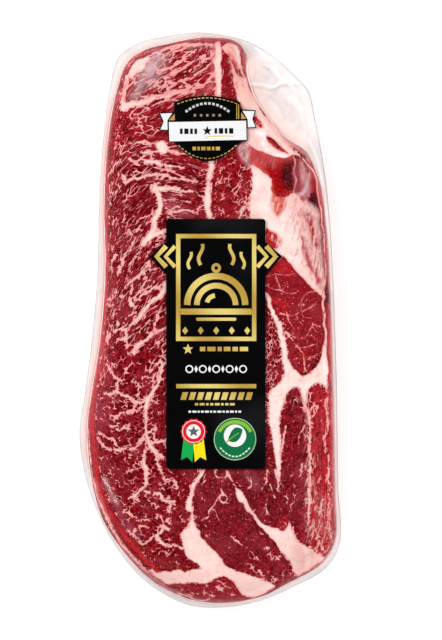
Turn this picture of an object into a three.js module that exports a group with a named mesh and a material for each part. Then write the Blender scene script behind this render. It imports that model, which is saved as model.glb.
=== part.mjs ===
// A vacuum-packed slab of raw beef short rib, lying flat with its cut face up, and the two labels stuck on it.
// Millimetres, +Z up, +Y towards the top end of the pack. The origin is on the table, under the middle of the pack.
import * as THREE from 'three';

// Driving dimensions
const PACK_LENGTH = 288.75;
const PACK_HALF_WIDTH = 66;
const SLAB_HEIGHT = 34;
const CROWN = 1.6;
const LABEL_THICKNESS = 0.4;
const LABEL_GAP = 0.3;

// The flat film round the slab: its height at the meat, its half thickness at the meat and at its edge,
// how far it droops (a base and a share of its width), and the widths between which it counts as empty.
const FILM_RIM_Z = 12;
const RIM_ROOT_HALF = 1.2;
const RIM_EDGE_HALF = 0.5;
const DROOP_BASE = 1.2;
const DROOP_SHARE = 0.17;
const EMPTY_FROM = 5;
const EMPTY_FULL = 14;
const EMPTY_FILLET = 3.2;

// How fine the surfaces are: spacing round the slab, rings on the cut face and in the film, and a label's
// rows and columns.
const RING_STEP = 5.4;
const FACE_RINGS = 10;
const FILM_RINGS = [0, 0.3, 0.65];
const LABEL_STEP = 7;
const LABEL_COLUMNS = 8;

// The core of the slab that the rings close in on: its share of the meat's width and length, and how near they come.
const CORE_X = 0.02;
const CORE_Y = 0.72;
const CORE_SHARE = 0.96;

// A muscle is full up to the first share of its half size and ends at the second.
const MUSCLE_FULL = 0.35;
const MUSCLE_END = 1.15;
// Share of the relief that stays under a label, and how far out, in half label sizes, it is whole again.
const CALM_SHARE = 0.15;
const CALM_REACH = 1.3;

// Places on the pack are read from straight above, in picture units with x to the right and y down.
const PACK_LENGTH_UNITS = 577.5;
const MIDDLE = { x: 210.18, y: 319.98 };
const MM_PER_UNIT = PACK_LENGTH / PACK_LENGTH_UNITS;
const place = ([x, y]) => new THREE.Vector2((x - MIDDLE.x) * MM_PER_UNIT, (MIDDLE.y - y) * MM_PER_UNIT);

// The meat's edge and the film's edge at the same stations, anticlockwise from the top left corner.
// They part only at the top right, where the film is empty and lies as a flat corner.
const STATIONS = [
  { meat: [127, 62], film: [118, 56] },
  { meat: [116, 92], film: [108.5, 92] },
  { meat: [108, 135], film: [102.5, 140] },
  { meat: [104, 205], film: [98.4, 205] },
  { meat: [105, 270], film: [96.8, 275] },
  { meat: [99.5, 342], film: [90.8, 342] },
  { meat: [91, 394], film: [84.2, 394] },
  { meat: [87, 430], film: [78.7, 432] },
  { meat: [89.5, 470], film: [83.5, 472] },
  { meat: [101, 517], film: [96.5, 512] },
  { meat: [123, 552], film: [118, 551.5] },
  { meat: [150, 580], film: [146, 583] },
  { meat: [188, 600], film: [186, 605.5] },
  { meat: [222, 604], film: [222, 608.5] },
  { meat: [257, 599], film: [258, 602.5] },
  { meat: [291, 583], film: [294, 587.5] },
  { meat: [323, 563], film: [327, 568.5] },
  { meat: [335.5, 541], film: [340.5, 543] },
  { meat: [335.5, 490], film: [338.8, 488] },
  { meat: [333.5, 385], film: [337.3, 385] },
  { meat: [331, 300], film: [334.5, 300] },
  { meat: [327, 230], film: [331, 230] },
  { meat: [319, 178], film: [326.5, 181] },
  { meat: [304, 149], film: [320.5, 143] },
  { meat: [283, 134], film: [315, 116] },
  { meat: [268, 115], film: [309.5, 91] },
  { meat: [256, 97], film: [301, 80.5] },
  { meat: [249, 76], film: [281, 61.5] },
  { meat: [246, 54], film: [263, 48] },
  { meat: [236, 40.5], film: [243, 38.5] },
  { meat: [203, 36.5], film: [203, 31.2] },
  { meat: [168, 43], film: [165, 35.3] },
  { meat: [143, 50], film: [138, 41.8] },
];

// The rounded upper edge of the slab: how far in from the meat's edge, and how far below the cut face.
const UPPER_EDGE = [[0.7, 15], [2, 9.5], [4, 5], [7, 2.2], [11, 0.8], [16, 0.2]];
// The rounded lower edge: how far in, and the height above the table.
const LOWER_EDGE = [[0.2, 10.2], [1.4, 5.4], [3.4, 1.9], [7, 0]];
// Where the upper edge is wider or crisper than usual: the flank leans out at the bottom left, and the cut is crisp
// where the film leaves the meat for the empty corner. Middle, radius in millimetres, change of the usual width.
const EDGE_CHANGES = [
  { at: [112, 545], radius: 30, change: 0.4 },
  { at: [268, 112], radius: 26, change: -0.7 },
];

// Muscles that swell a little between the seams of the cut face: middle, half size, turn in degrees, rise.
const MUSCLES = [
  { at: [168, 74], half: [44, 26], turn: 12, rise: 0.8 },
  { at: [150, 230], half: [46, 120], turn: 0, rise: 0.8 },
  { at: [136, 430], half: [44, 90], turn: 0, rise: 0.8 },
  { at: [231, 180], half: [18, 36], turn: 0, rise: 0.7 },
  { at: [298, 318], half: [26, 56], turn: 12, rise: 1.0 },
  { at: [292, 455], half: [11, 68], turn: 0, rise: 0.7 },
  { at: [317, 462], half: [10, 78], turn: 0, rise: 0.7 },
  { at: [228, 540], half: [36, 46], turn: -25, rise: 1.0 },
  { at: [150, 535], half: [36, 40], turn: -35, rise: 0.7 },
  { at: [276, 165], half: [24, 20], turn: -30, rise: 0.9 },
];

// Fat seams between the muscles, where the film is drawn in: a line, its depth and its half width in millimetres.
const SEAMS = [
  { line: [[121, 105], [165, 95], [205, 78], [214, 70]], depth: 0.7, half: 3.2 },
  { line: [[218, 42], [219, 95]], depth: 0.6, half: 3 },
  { line: [[250, 170], [272, 225], [268, 290], [280, 370], [276, 460], [278, 520]], depth: 0.8, half: 3.6 },
  { line: [[203, 470], [190, 510], [190, 540], [240, 575], [275, 588]], depth: 0.8, half: 3.4 },
  { line: [[228, 470], [262, 523], [300, 545]], depth: 0.7, half: 3.2 },
  { line: [[306, 385], [306, 520]], depth: 0.5, half: 2.6 },
];

// Folds that stand up in the empty film corner: a line, height and half width in millimetres.
const FOLDS = [
  { line: [[250, 83], [275, 86], [302, 82]], height: 1.1, half: 2.2 },
  { line: [[250, 57], [272, 59], [276, 76], [290, 80]], height: 0.9, half: 2.2 },
  { line: [[280, 92], [296, 106], [303, 130]], height: 0.8, half: 2.4 },
];

// The tall label's rectangle with a pointed tab on each side, and the arched badge label with a ribbon across it.
const TALL_LABEL = { left: 166.2, right: 265.4, top: 219, bottom: 469, corner: 2.4 };
const TAB = { root: 241.8, tip: 256.6, end: 275, left: 149.8, right: 282.2 };
const BADGE = { left: 174.2, right: 240.4, shoulder: 102.6, top: 95.8, hip: 142, bottom: 161.3 };
const RIBBON_LEFT_END = [
  [168.5, 142.2], [168.8, 130.9], [159, 130.4], [162.6, 121.7], [158.9, 112.9], [174.1, 112.3],
];
const RIBBON_RIGHT_END = [
  [240.6, 109.8], [256, 110.4], [253.3, 119.1], [256.4, 127.8], [247.2, 128.4], [247.4, 140.6],
];
// The parts of the cut face that the labels hold flat.
const FLAT_ZONES = [
  { middle: [215.8, 344], half: [68, 130] },
  { middle: [207.5, 128.5], half: [50, 36] },
];

const clamp = THREE.MathUtils.clamp;
const lerp = THREE.MathUtils.lerp;
const smoothstep = THREE.MathUtils.smoothstep;

// Distance in millimetres from a point to a line of straight pieces.
function distanceToLine(point, line) {
  let nearest = Infinity;
  for (let i = 0; i + 1 < line.length; i++) {
    const start = place(line[i]);
    const along = place(line[i + 1]).sub(start);
    const share = clamp(point.clone().sub(start).dot(along) / along.lengthSq(), 0, 1);
    nearest = Math.min(nearest, point.distanceTo(start.addScaledVector(along, share)));
  }
  return nearest;
}

// 1 on the line of a rounded ridge or groove, falling to 0 at its half width and beyond.
const ridge = (distance, half) => 1 - smoothstep(distance, 0, 2 * half);

function muscleRise(point, { at, half, turn, rise }) {
  const offset = point.clone().sub(place(at)).rotateAround(new THREE.Vector2(), THREE.MathUtils.degToRad(-turn));
  const reach = Math.hypot(offset.x / (half[0] * MM_PER_UNIT), offset.y / (half[1] * MM_PER_UNIT));
  return rise * (1 - smoothstep(reach, MUSCLE_FULL, MUSCLE_END));
}

// How much of the relief stays: the cut face is calmer where a label is stuck down.
function reliefShare(point) {
  let share = 1;
  for (const { middle, half } of FLAT_ZONES) {
    const offset = point.clone().sub(place(middle));
    const across = Math.abs(offset.x) / (half[0] * MM_PER_UNIT);
    const along = Math.abs(offset.y) / (half[1] * MM_PER_UNIT);
    share = Math.min(share, smoothstep(Math.max(across, along), 1, CALM_REACH));
  }
  return lerp(CALM_SHARE, 1, share);
}

// Height of the cut face above the table: a flat crown, swollen muscles and drawn-in seams.
function faceHeight(point) {
  const across = clamp(1 - (point.x / PACK_HALF_WIDTH) ** 2, 0, 1);
  const along = clamp(1 - (point.y / (PACK_LENGTH / 2)) ** 2, 0, 1);
  const swell = MUSCLES.reduce((sum, muscle) => sum + muscleRise(point, muscle), 0);
  const drawn = SEAMS.reduce((most, { line, depth, half }) =>
    Math.max(most, depth * ridge(distanceToLine(point, line), half)), 0);
  return SLAB_HEIGHT + CROWN * across * along + reliefShare(point) * (swell - drawn);
}

function foldHeight(point) {
  return FOLDS.reduce((sum, { line, height, half }) =>
    sum + height * ridge(distanceToLine(point, line), half), 0);
}

const closedCurve = (points) => new THREE.CatmullRomCurve3(
  points.map((point) => new THREE.Vector3(place(point).x, place(point).y, 0)), true, 'centripetal');

// Points round the pack with the meat's edge, the film's edge and the inward direction at each.
function edgeSamples() {
  const meatCurve = closedCurve(STATIONS.map((station) => station.meat));
  const filmCurve = closedCurve(STATIONS.map((station) => station.film));
  const samples = [];
  STATIONS.forEach((station, i) => {
    const next = STATIONS[(i + 1) % STATIONS.length];
    const run = place(station.film).distanceTo(place(next.film));
    const steps = Math.max(1, Math.round(run / RING_STEP));
    for (let k = 0; k < steps; k++) {
      const share = (i + k / steps) / STATIONS.length;
      const meat = meatCurve.getPoint(share);
      const film = filmCurve.getPoint(share);
      // The inward lines run to a narrow core up the middle of the slab, so that no two of them cross.
      const core = new THREE.Vector3(meat.x * CORE_X, meat.y * CORE_Y, 0);
      const reach = core.distanceTo(meat);
      samples.push({ meat, film, reach, inward: core.sub(meat).normalize() });
    }
  });
  return samples;
}

// How far the rounded upper edge reaches in, as a share of its usual width.
function edgeSpread(meat) {
  return EDGE_CHANGES.reduce((spread, { at, radius, change }) => {
    const away = Math.hypot(meat.x - place(at).x, meat.y - place(at).y);
    return spread + change * Math.exp(-((away / radius) ** 2));
  }, 1);
}

// One ring round the slab, a distance in from the meat's edge.
function slabRing(samples, insetAt, heightAt) {
  return samples.map((sample) => {
    const point = sample.meat.clone().addScaledVector(sample.inward, insetAt(sample));
    point.z = heightAt(new THREE.Vector2(point.x, point.y));
    return point;
  });
}

// One ring in the flat film between the meat's edge and the film's edge; side is 1 above, -1 below, 0 at its rim.
function filmRing(samples, share, side) {
  return samples.map(({ meat, film }) => {
    const width = meat.distanceTo(film);
    const empty = smoothstep(width, EMPTY_FROM, EMPTY_FULL);
    const point = meat.clone().lerp(film, share);
    const droop = share * (DROOP_BASE + DROOP_SHARE * width);
    const fillet = side > 0 ? EMPTY_FILLET * empty * (1 - share) ** 3 : 0;
    const half = lerp(RIM_ROOT_HALF, RIM_EDGE_HALF, Math.min(1, share / FILM_RINGS[FILM_RINGS.length - 1]));
    const fold = empty * foldHeight(new THREE.Vector2(point.x, point.y)) * 4 * share * (1 - share);
    point.z = FILM_RIM_Z - droop + side * half + fillet + fold;
    return point;
  });
}

// Rings from the middle of the cut face, over the side and the film rim, to the flat underside.
function packRings() {
  const samples = edgeSamples();
  const plateau = UPPER_EDGE[UPPER_EDGE.length - 1][0];
  const rings = [];
  for (let k = FACE_RINGS; k > 0; k--) {
    const insetAt = ({ meat, reach }) => {
      const rim = plateau * edgeSpread(meat);
      return rim + (reach - rim) * CORE_SHARE * (k / FACE_RINGS);
    };
    rings.push(slabRing(samples, insetAt, faceHeight));
  }
  for (const [inset, drop] of [...UPPER_EDGE].reverse()) {
    const insetAt = ({ meat }) => inset * edgeSpread(meat);
    rings.push(slabRing(samples, insetAt, (point) => faceHeight(point) - drop));
  }
  for (const share of FILM_RINGS) rings.push(filmRing(samples, share, 1));
  rings.push(filmRing(samples, 1, 0));
  for (const share of [...FILM_RINGS].reverse()) rings.push(filmRing(samples, share, -1));
  for (const [inset, height] of LOWER_EDGE) rings.push(slabRing(samples, () => inset, () => height));
  return rings;
}

// A closed skin over rings of equal length, with the first and the last ring filled.
function skinOverRings(rings) {
  const count = rings[0].length;
  const positions = rings.flat().flatMap((point) => [point.x, point.y, point.z]);
  const faces = [];
  for (let i = 0; i + 1 < rings.length; i++) {
    for (let j = 0; j < count; j++) {
      const here = i * count + j;
      const beside = i * count + ((j + 1) % count);
      faces.push(here, here + count, beside, beside, here + count, beside + count);
    }
  }
  const capOf = (ring) => {
    const outline = ring.map((point) => new THREE.Vector2(point.x, point.y));
    return THREE.ShapeUtils.triangulateShape(outline, []);
  };
  const last = (rings.length - 1) * count;
  for (const [a, b, c] of capOf(rings[0])) faces.push(a, b, c);
  for (const [a, b, c] of capOf(rings[rings.length - 1])) faces.push(last + c, last + b, last + a);
  return geometryOf(positions, faces);
}

function geometryOf(positions, faces) {
  const geometry = new THREE.BufferGeometry();
  geometry.setAttribute('position', new THREE.Float32BufferAttribute(positions, 3));
  geometry.setIndex(faces);
  geometry.computeVertexNormals();
  return geometry;
}

// Left and right edge of a closed outline at a height, in picture units.
function extentAt(outline, y) {
  const crossings = [];
  outline.forEach(([x1, y1], i) => {
    const [x2, y2] = outline[(i + 1) % outline.length];
    if ((y1 - y) * (y2 - y) <= 0 && y1 !== y2) crossings.push(x1 + ((x2 - x1) * (y - y1)) / (y2 - y1));
  });
  return [Math.min(...crossings), Math.max(...crossings)];
}

// Heights of the rows across a label: one at each corner of its outline, and more where those are far apart.
// The first and the last row keep just inside, and corners that lie closer than the least gap share a row.
function rowHeights(outline) {
  const inside = 0.12;
  const leastGap = 0.3;
  const corners = [...new Set(outline.map(([, y]) => y))].sort((a, b) => a - b);
  corners[0] += inside;
  corners[corners.length - 1] -= inside;
  const rows = [corners[0]];
  for (const corner of corners.slice(1)) {
    const from = rows[rows.length - 1];
    if (corner - from < leastGap) continue;
    const parts = Math.max(1, Math.round(((corner - from) * MM_PER_UNIT) / LABEL_STEP));
    for (let k = 1; k <= parts; k++) rows.push(lerp(from, corner, k / parts));
  }
  return rows;
}

// A thin sheet with the given outline, laid on the cut face.
function stickerOf(outline) {
  const rows = rowHeights(outline);
  const positions = [];
  for (const lift of [LABEL_GAP + LABEL_THICKNESS, LABEL_GAP]) {
    for (const y of rows) {
      const [left, right] = extentAt(outline, y);
      for (let column = 0; column < LABEL_COLUMNS; column++) {
        const point = place([lerp(left, right, column / (LABEL_COLUMNS - 1)), y]);
        positions.push(point.x, point.y, faceHeight(point) + lift);
      }
    }
  }
  const at = (layer, row, column) => (layer * rows.length + row) * LABEL_COLUMNS + column;
  const faces = [];
  const quad = (a, b, c, d) => faces.push(a, b, c, a, c, d);
  const lastRow = rows.length - 1;
  const lastColumn = LABEL_COLUMNS - 1;
  for (let row = 0; row < lastRow; row++) {
    for (let column = 0; column < lastColumn; column++) {
      quad(at(0, row, column), at(0, row + 1, column), at(0, row + 1, column + 1), at(0, row, column + 1));
      quad(at(1, row, column), at(1, row, column + 1), at(1, row + 1, column + 1), at(1, row + 1, column));
    }
    quad(at(0, row, 0), at(1, row, 0), at(1, row + 1, 0), at(0, row + 1, 0));
    quad(at(0, row + 1, lastColumn), at(1, row + 1, lastColumn), at(1, row, lastColumn), at(0, row, lastColumn));
  }
  for (let column = 0; column < lastColumn; column++) {
    quad(at(0, 0, column + 1), at(1, 0, column + 1), at(1, 0, column), at(0, 0, column));
    quad(at(0, lastRow, column), at(1, lastRow, column), at(1, lastRow, column + 1), at(0, lastRow, column + 1));
  }
  return geometryOf(positions, faces);
}

// Points of an arc through a start, a high point half way and an end, without its ends.
function arcThrough(start, high, end, count) {
  const curve = new THREE.QuadraticBezierCurve(
    new THREE.Vector2(...start),
    new THREE.Vector2(high[0], 2 * high[1] - (start[1] + end[1]) / 2),
    new THREE.Vector2(...end));
  return curve.getPoints(count).slice(1, -1).map((point) => [point.x, point.y]);
}

function tallLabelOutline() {
  const { left, right, top, bottom, corner } = TALL_LABEL;
  const near = corner * 0.3;
  return [
    [left, top + corner], [left + near, top + near], [left + corner, top],
    [right - corner, top], [right - near, top + near], [right, top + corner],
    [right, TAB.root], [TAB.right, TAB.tip], [right, TAB.end],
    [right, bottom - corner], [right - near, bottom - near], [right - corner, bottom],
    [left + corner, bottom], [left + near, bottom - near], [left, bottom - corner],
    [left, TAB.end], [TAB.left, TAB.tip], [left, TAB.root],
  ];
}

function badgeLabelOutline() {
  const { left, right, shoulder, top, hip, bottom } = BADGE;
  const middle = (left + right) / 2;
  return [
    [left, shoulder],
    ...arcThrough([left, shoulder], [middle, top], [right, shoulder], 10),
    [right, shoulder],
    ...RIBBON_RIGHT_END,
    [right, hip],
    ...arcThrough([right, hip], [middle, bottom], [left, hip], 14),
    [left, hip],
    ...RIBBON_LEFT_END,
  ];
}

function named(name, geometry, material) {
  const mesh = new THREE.Mesh(geometry, new THREE.MeshStandardMaterial(material));
  mesh.name = name;
  return mesh;
}

const packedRib = new THREE.Group();
const glossyBeef = { color: 0xa8323c, roughness: 0.25, metalness: 0 };
const satinBlack = { color: 0x1f1d1c, roughness: 0.45, metalness: 0 };
packedRib.add(named('vacuum_pack', skinOverRings(packRings()), glossyBeef));
packedRib.add(named('tall_label', stickerOf(tallLabelOutline()), satinBlack));
packedRib.add(named('badge_label', stickerOf(badgeLabelOutline()), satinBlack));

export default packedRib;
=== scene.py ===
"""Looks of a vacuum-packed slab of raw beef short rib: marbled meat, clear film and two printed labels."""

import math

import bpy
import numpy as np
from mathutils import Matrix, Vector
from mathutils.geometry import delaunay_2d_cdt


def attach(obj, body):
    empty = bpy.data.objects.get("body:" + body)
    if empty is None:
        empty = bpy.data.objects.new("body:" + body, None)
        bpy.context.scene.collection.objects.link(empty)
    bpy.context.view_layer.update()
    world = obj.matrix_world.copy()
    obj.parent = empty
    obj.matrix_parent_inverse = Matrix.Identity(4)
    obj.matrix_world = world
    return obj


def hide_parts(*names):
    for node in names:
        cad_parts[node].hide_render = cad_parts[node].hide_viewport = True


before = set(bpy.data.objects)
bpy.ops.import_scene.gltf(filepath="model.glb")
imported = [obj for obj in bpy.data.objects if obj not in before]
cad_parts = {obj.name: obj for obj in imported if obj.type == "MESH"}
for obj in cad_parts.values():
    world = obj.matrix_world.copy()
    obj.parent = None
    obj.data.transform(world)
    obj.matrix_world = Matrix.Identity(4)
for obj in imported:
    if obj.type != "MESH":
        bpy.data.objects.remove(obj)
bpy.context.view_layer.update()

# Places on the pack are in picture units from straight above, x to the right and y down. Heights and
# thicknesses are in millimetres.
MM_PER_UNIT = 0.5
METRE = 0.001
MIDDLE = np.array([210.18, 319.98])
PACK_HALF_WIDTH = 66.0
PACK_HALF_LENGTH = 144.375
SLAB_HEIGHT = 34.0
CROWN = 1.6
# The rounded upper edge: its drop at the meat's edge and how far in it reaches.
EDGE_DROP = 18.4
EDGE_REACH = 3.3
# Where the edge rolls over more or less gently: spot, reach, change of the spread.
EDGE_SPREADS = [((112, 545), 30, 0.4), ((268, 112), 26, -0.7)]
FILM_RIM_Z = 12.0
FILM_GAP = 0.35
LABEL_LIFT = 0.32
LABEL_THICKNESS = 0.25
PRINT_THICKNESS = 0.05
LIGHT_GAIN = 1.7
# The empty film lies in the slab's soft shadow, most of all at the foot of its wall.
SHADED_GAIN = 1.46
DEEP_SHADE_GAIN = 1.15

# The meat's edge and the film's edge at the same stations, anticlockwise from the top left corner.
STATIONS = [
    ((127, 62), (118, 56)), ((116, 92), (108.5, 92)), ((108, 135), (102.5, 140)), ((104, 205), (98.4, 205)),
    ((105, 270), (96.8, 275)), ((99.5, 342), (90.8, 342)), ((91, 394), (84.2, 394)),
    ((87, 430), (78.7, 432)), ((89.5, 470), (83.5, 472)), ((101, 517), (96.5, 512)),
    ((123, 552), (118, 551.5)), ((150, 580), (146, 583)), ((188, 600), (186, 605.5)),
    ((222, 604), (222, 608.5)), ((257, 599), (258, 602.5)), ((291, 583), (294, 587.5)),
    ((323, 563), (327, 568.5)), ((335.5, 541), (340.5, 543)), ((335.5, 490), (338.8, 488)),
    ((333.5, 385), (337.3, 385)), ((331, 300), (334.5, 300)), ((327, 230), (331, 230)),
    ((319, 178), (326.5, 181)), ((304, 149), (320.5, 143)), ((283, 134), (315, 116)),
    ((268, 115), (309.5, 91)), ((256, 97), (301, 80.5)), ((249, 76), (281, 61.5)), ((246, 54), (263, 48)),
    ((236, 40.5), (243, 38.5)), ((203, 36.5), (203, 31.2)), ((168, 43), (165, 35.3)),
    ((143, 50), (138, 41.8)),
]

# Muscles that swell between the seams: middle, half size, turn in degrees, rise. A swelling is full up to
# the first share of its half size and gone at the second.
SWELL_SHARES = (0.35, 1.15)
MUSCLES = [
    ((168, 74), (44, 26), 12, 0.8), ((150, 230), (46, 120), 0, 0.8), ((136, 430), (44, 90), 0, 0.8),
    ((231, 180), (18, 36), 0, 0.7), ((298, 318), (26, 56), 12, 1.0), ((292, 455), (11, 68), 0, 0.7),
    ((317, 462), (10, 78), 0, 0.7), ((228, 540), (36, 46), -25, 1.0), ((150, 535), (36, 40), -35, 0.7),
    ((276, 165), (24, 20), -30, 0.9),
]
# Seams where the film is drawn in: depth, half width in millimetres, line.
SEAMS = [
    (0.7, 3.2, [(121, 105), (165, 95), (205, 78), (214, 70)]),
    (0.6, 3.0, [(218, 42), (219, 95)]),
    (0.8, 3.6, [(250, 170), (272, 225), (268, 290), (280, 370), (276, 460), (278, 520)]),
    (0.8, 3.4, [(203, 470), (190, 510), (190, 540), (240, 575), (275, 588)]),
    (0.7, 3.2, [(228, 470), (262, 523), (300, 545)]),
    (0.5, 2.6, [(306, 385), (306, 520)]),
]
# The labels hold the face flat here: middle, half size. The relief falls to a share of itself there, and is
# whole again at a multiple of the half size.
FLAT_ZONES = [((215.8, 344), (68, 130)), ((207.5, 128.5), (50, 36))]
CALM_SHARE = 0.15
CALM_REACH = 1.3
# Folds in the empty film corner: height, half width in millimetres, line.
FOLDS = [
    (1.1, 2.2, [(250, 83), (275, 86), (302, 82)]),
    (0.9, 2.2, [(250, 57), (272, 59), (276, 76), (290, 80)]),
    (0.8, 2.4, [(280, 92), (296, 106), (303, 130)]),
]


# Small numeric helpers

def smoothstep(value, low, high):
    share = np.clip((value - low) / (high - low), 0, 1)
    return share * share * (3 - 2 * share)


def lerp(a, b, share):
    return a + (b - a) * share


class Noise:
    """Smooth seeded noise in the plane, between -1 and 1, that repeats every 128 cells."""

    def __init__(self, seed):
        self.table = np.random.default_rng(seed).uniform(-1, 1, (128, 128))

    def __call__(self, points, cell):
        scaled = np.asarray(points) / cell
        corner = np.floor(scaled).astype(int)
        part = smoothstep(scaled - corner, 0, 1)
        x, y = corner[..., 0], corner[..., 1]
        value = lambda i, j: self.table[(x + i) % 128, (y + j) % 128]
        upper = lerp(value(0, 0), value(1, 0), part[..., 0])
        lower = lerp(value(0, 1), value(1, 1), part[..., 0])
        return lerp(upper, lower, part[..., 1])


def spline(points, steps, closed):
    """Centripetal Catmull-Rom through the points, with steps samples for each span."""
    p = np.asarray(points, float)
    if closed:
        before, here, there, after = (np.roll(p, k, 0) for k in (1, 0, -1, -2))
    else:
        padded = np.vstack([2 * p[0] - p[1], p, 2 * p[-1] - p[-2]])
        before, here, there, after = padded[:-3], padded[1:-2], padded[2:-1], padded[3:]
    gap = lambda a, b: np.maximum(np.linalg.norm(b - a, axis=1), 1e-6)[:, None] ** 0.5
    d0, d1, d2 = gap(before, here), gap(here, there), gap(there, after)
    leave = ((here - before) / d0 - (there - before) / (d0 + d1) + (there - here) / d1) * d1
    arrive = ((there - here) / d1 - (after - here) / (d1 + d2) + (after - there) / d2) * d1
    t = (np.arange(steps) / steps)[None, :, None]
    a, b = here[:, None], there[:, None]
    m, n = leave[:, None], arrive[:, None]
    curve = a + m * t + (3 * (b - a) - 2 * m - n) * t ** 2 + (2 * (a - b) + m + n) * t ** 3
    curve = curve.reshape(-1, p.shape[1])
    return curve if closed else np.vstack([curve, p[-1]])


def segment_distance(points, start, end):
    """Distance from each point to one segment, and the share of the way along it."""
    along = end - start
    share = np.clip((points - start) @ along / max(along @ along, 1e-12), 0, 1)
    return np.linalg.norm(points - start - share[:, None] * along, axis=1), share


def line_distance(points, line):
    line = np.asarray(line, float)
    nearest = np.full(len(points), np.inf)
    for start, end in zip(line[:-1], line[1:]):
        nearest = np.minimum(nearest, segment_distance(points, start, end)[0])
    return nearest


def inside(points, loop):
    """True for points inside a closed loop."""
    hit = np.zeros(len(points), bool)
    x, y = points[:, 0], points[:, 1]
    for (x1, y1), (x2, y2) in zip(loop, np.roll(loop, -1, 0)):
        if y1 == y2:
            continue
        crosses = (y1 > y) != (y2 > y)
        hit ^= crosses & (x < x1 + (x2 - x1) * (y - y1) / (y2 - y1))
    return hit


def loop_depth(points, loop):
    """Distance to a closed loop, positive inside."""
    depth = line_distance(points, np.vstack([loop, loop[:1]]))
    return np.where(inside(points, loop), depth, -depth)


# The form of the pack

SPLINE_STEPS = 12
MEAT_LOOP = spline([meat for meat, film in STATIONS], SPLINE_STEPS, True)
FILM_LOOP = spline([film for meat, film in STATIONS], SPLINE_STEPS, True)


def to_mm(points):
    return (np.asarray(points, float) - MIDDLE) * [MM_PER_UNIT, -MM_PER_UNIT]


def solid_points(points, heights):
    """Picture places and heights in millimetres as points in metres."""
    flat = to_mm(points)
    return np.column_stack([flat, np.broadcast_to(heights, len(flat))]) * METRE


def face_height(points):
    """Height of the cut face: a flat crown, swollen muscles and drawn-in seams, calmer under the labels."""
    mm = to_mm(points)
    crown_share = np.clip(1 - (mm / [PACK_HALF_WIDTH, PACK_HALF_LENGTH]) ** 2, 0, 1)
    crown = crown_share[:, 0] * crown_share[:, 1]
    swell = np.zeros(len(mm))
    for at, half, turn, rise in MUSCLES:
        offset = mm - to_mm(at)
        angle = math.radians(-turn)
        x = offset[:, 0] * math.cos(angle) - offset[:, 1] * math.sin(angle)
        y = offset[:, 0] * math.sin(angle) + offset[:, 1] * math.cos(angle)
        reach = np.hypot(x / (half[0] * MM_PER_UNIT), y / (half[1] * MM_PER_UNIT))
        swell += rise * (1 - smoothstep(reach, *SWELL_SHARES))
    drawn = np.zeros(len(mm))
    for depth, half, line in SEAMS:
        distance = line_distance(points, line) * MM_PER_UNIT
        drawn = np.maximum(drawn, depth * (1 - smoothstep(distance, 0, 2 * half)))
    share = np.ones(len(mm))
    for middle, half in FLAT_ZONES:
        offset = np.abs(points - np.array(middle)) / half
        share = np.minimum(share, smoothstep(offset.max(1), 1, CALM_REACH))
    return SLAB_HEIGHT + CROWN * crown + lerp(CALM_SHARE, 1, share) * (swell - drawn)


def edge_spread(points):
    mm = to_mm(points)
    spread = np.ones(len(mm))
    for spot, reach, change in EDGE_SPREADS:
        spread += change * np.exp(-(np.linalg.norm(mm - to_mm(spot), axis=1) / reach) ** 2)
    return spread


def skin_height(points, depth):
    """Height of the film over the meat; depth is the distance in from the meat's edge in picture units."""
    depth_mm = np.maximum(depth * MM_PER_UNIT, 0)
    return face_height(points) - EDGE_DROP * np.exp(-depth_mm / (EDGE_REACH * edge_spread(points)))


def fold_height(points):
    height = np.zeros(len(points))
    for rise, half, line in FOLDS:
        height += rise * (1 - smoothstep(line_distance(points, line) * MM_PER_UNIT, 0, 2 * half))
    return height


# Marbling of the cut face, in picture units. Fat areas are closed outlines; a vein is its width at the start
# and at the end and the line that it follows.

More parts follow.
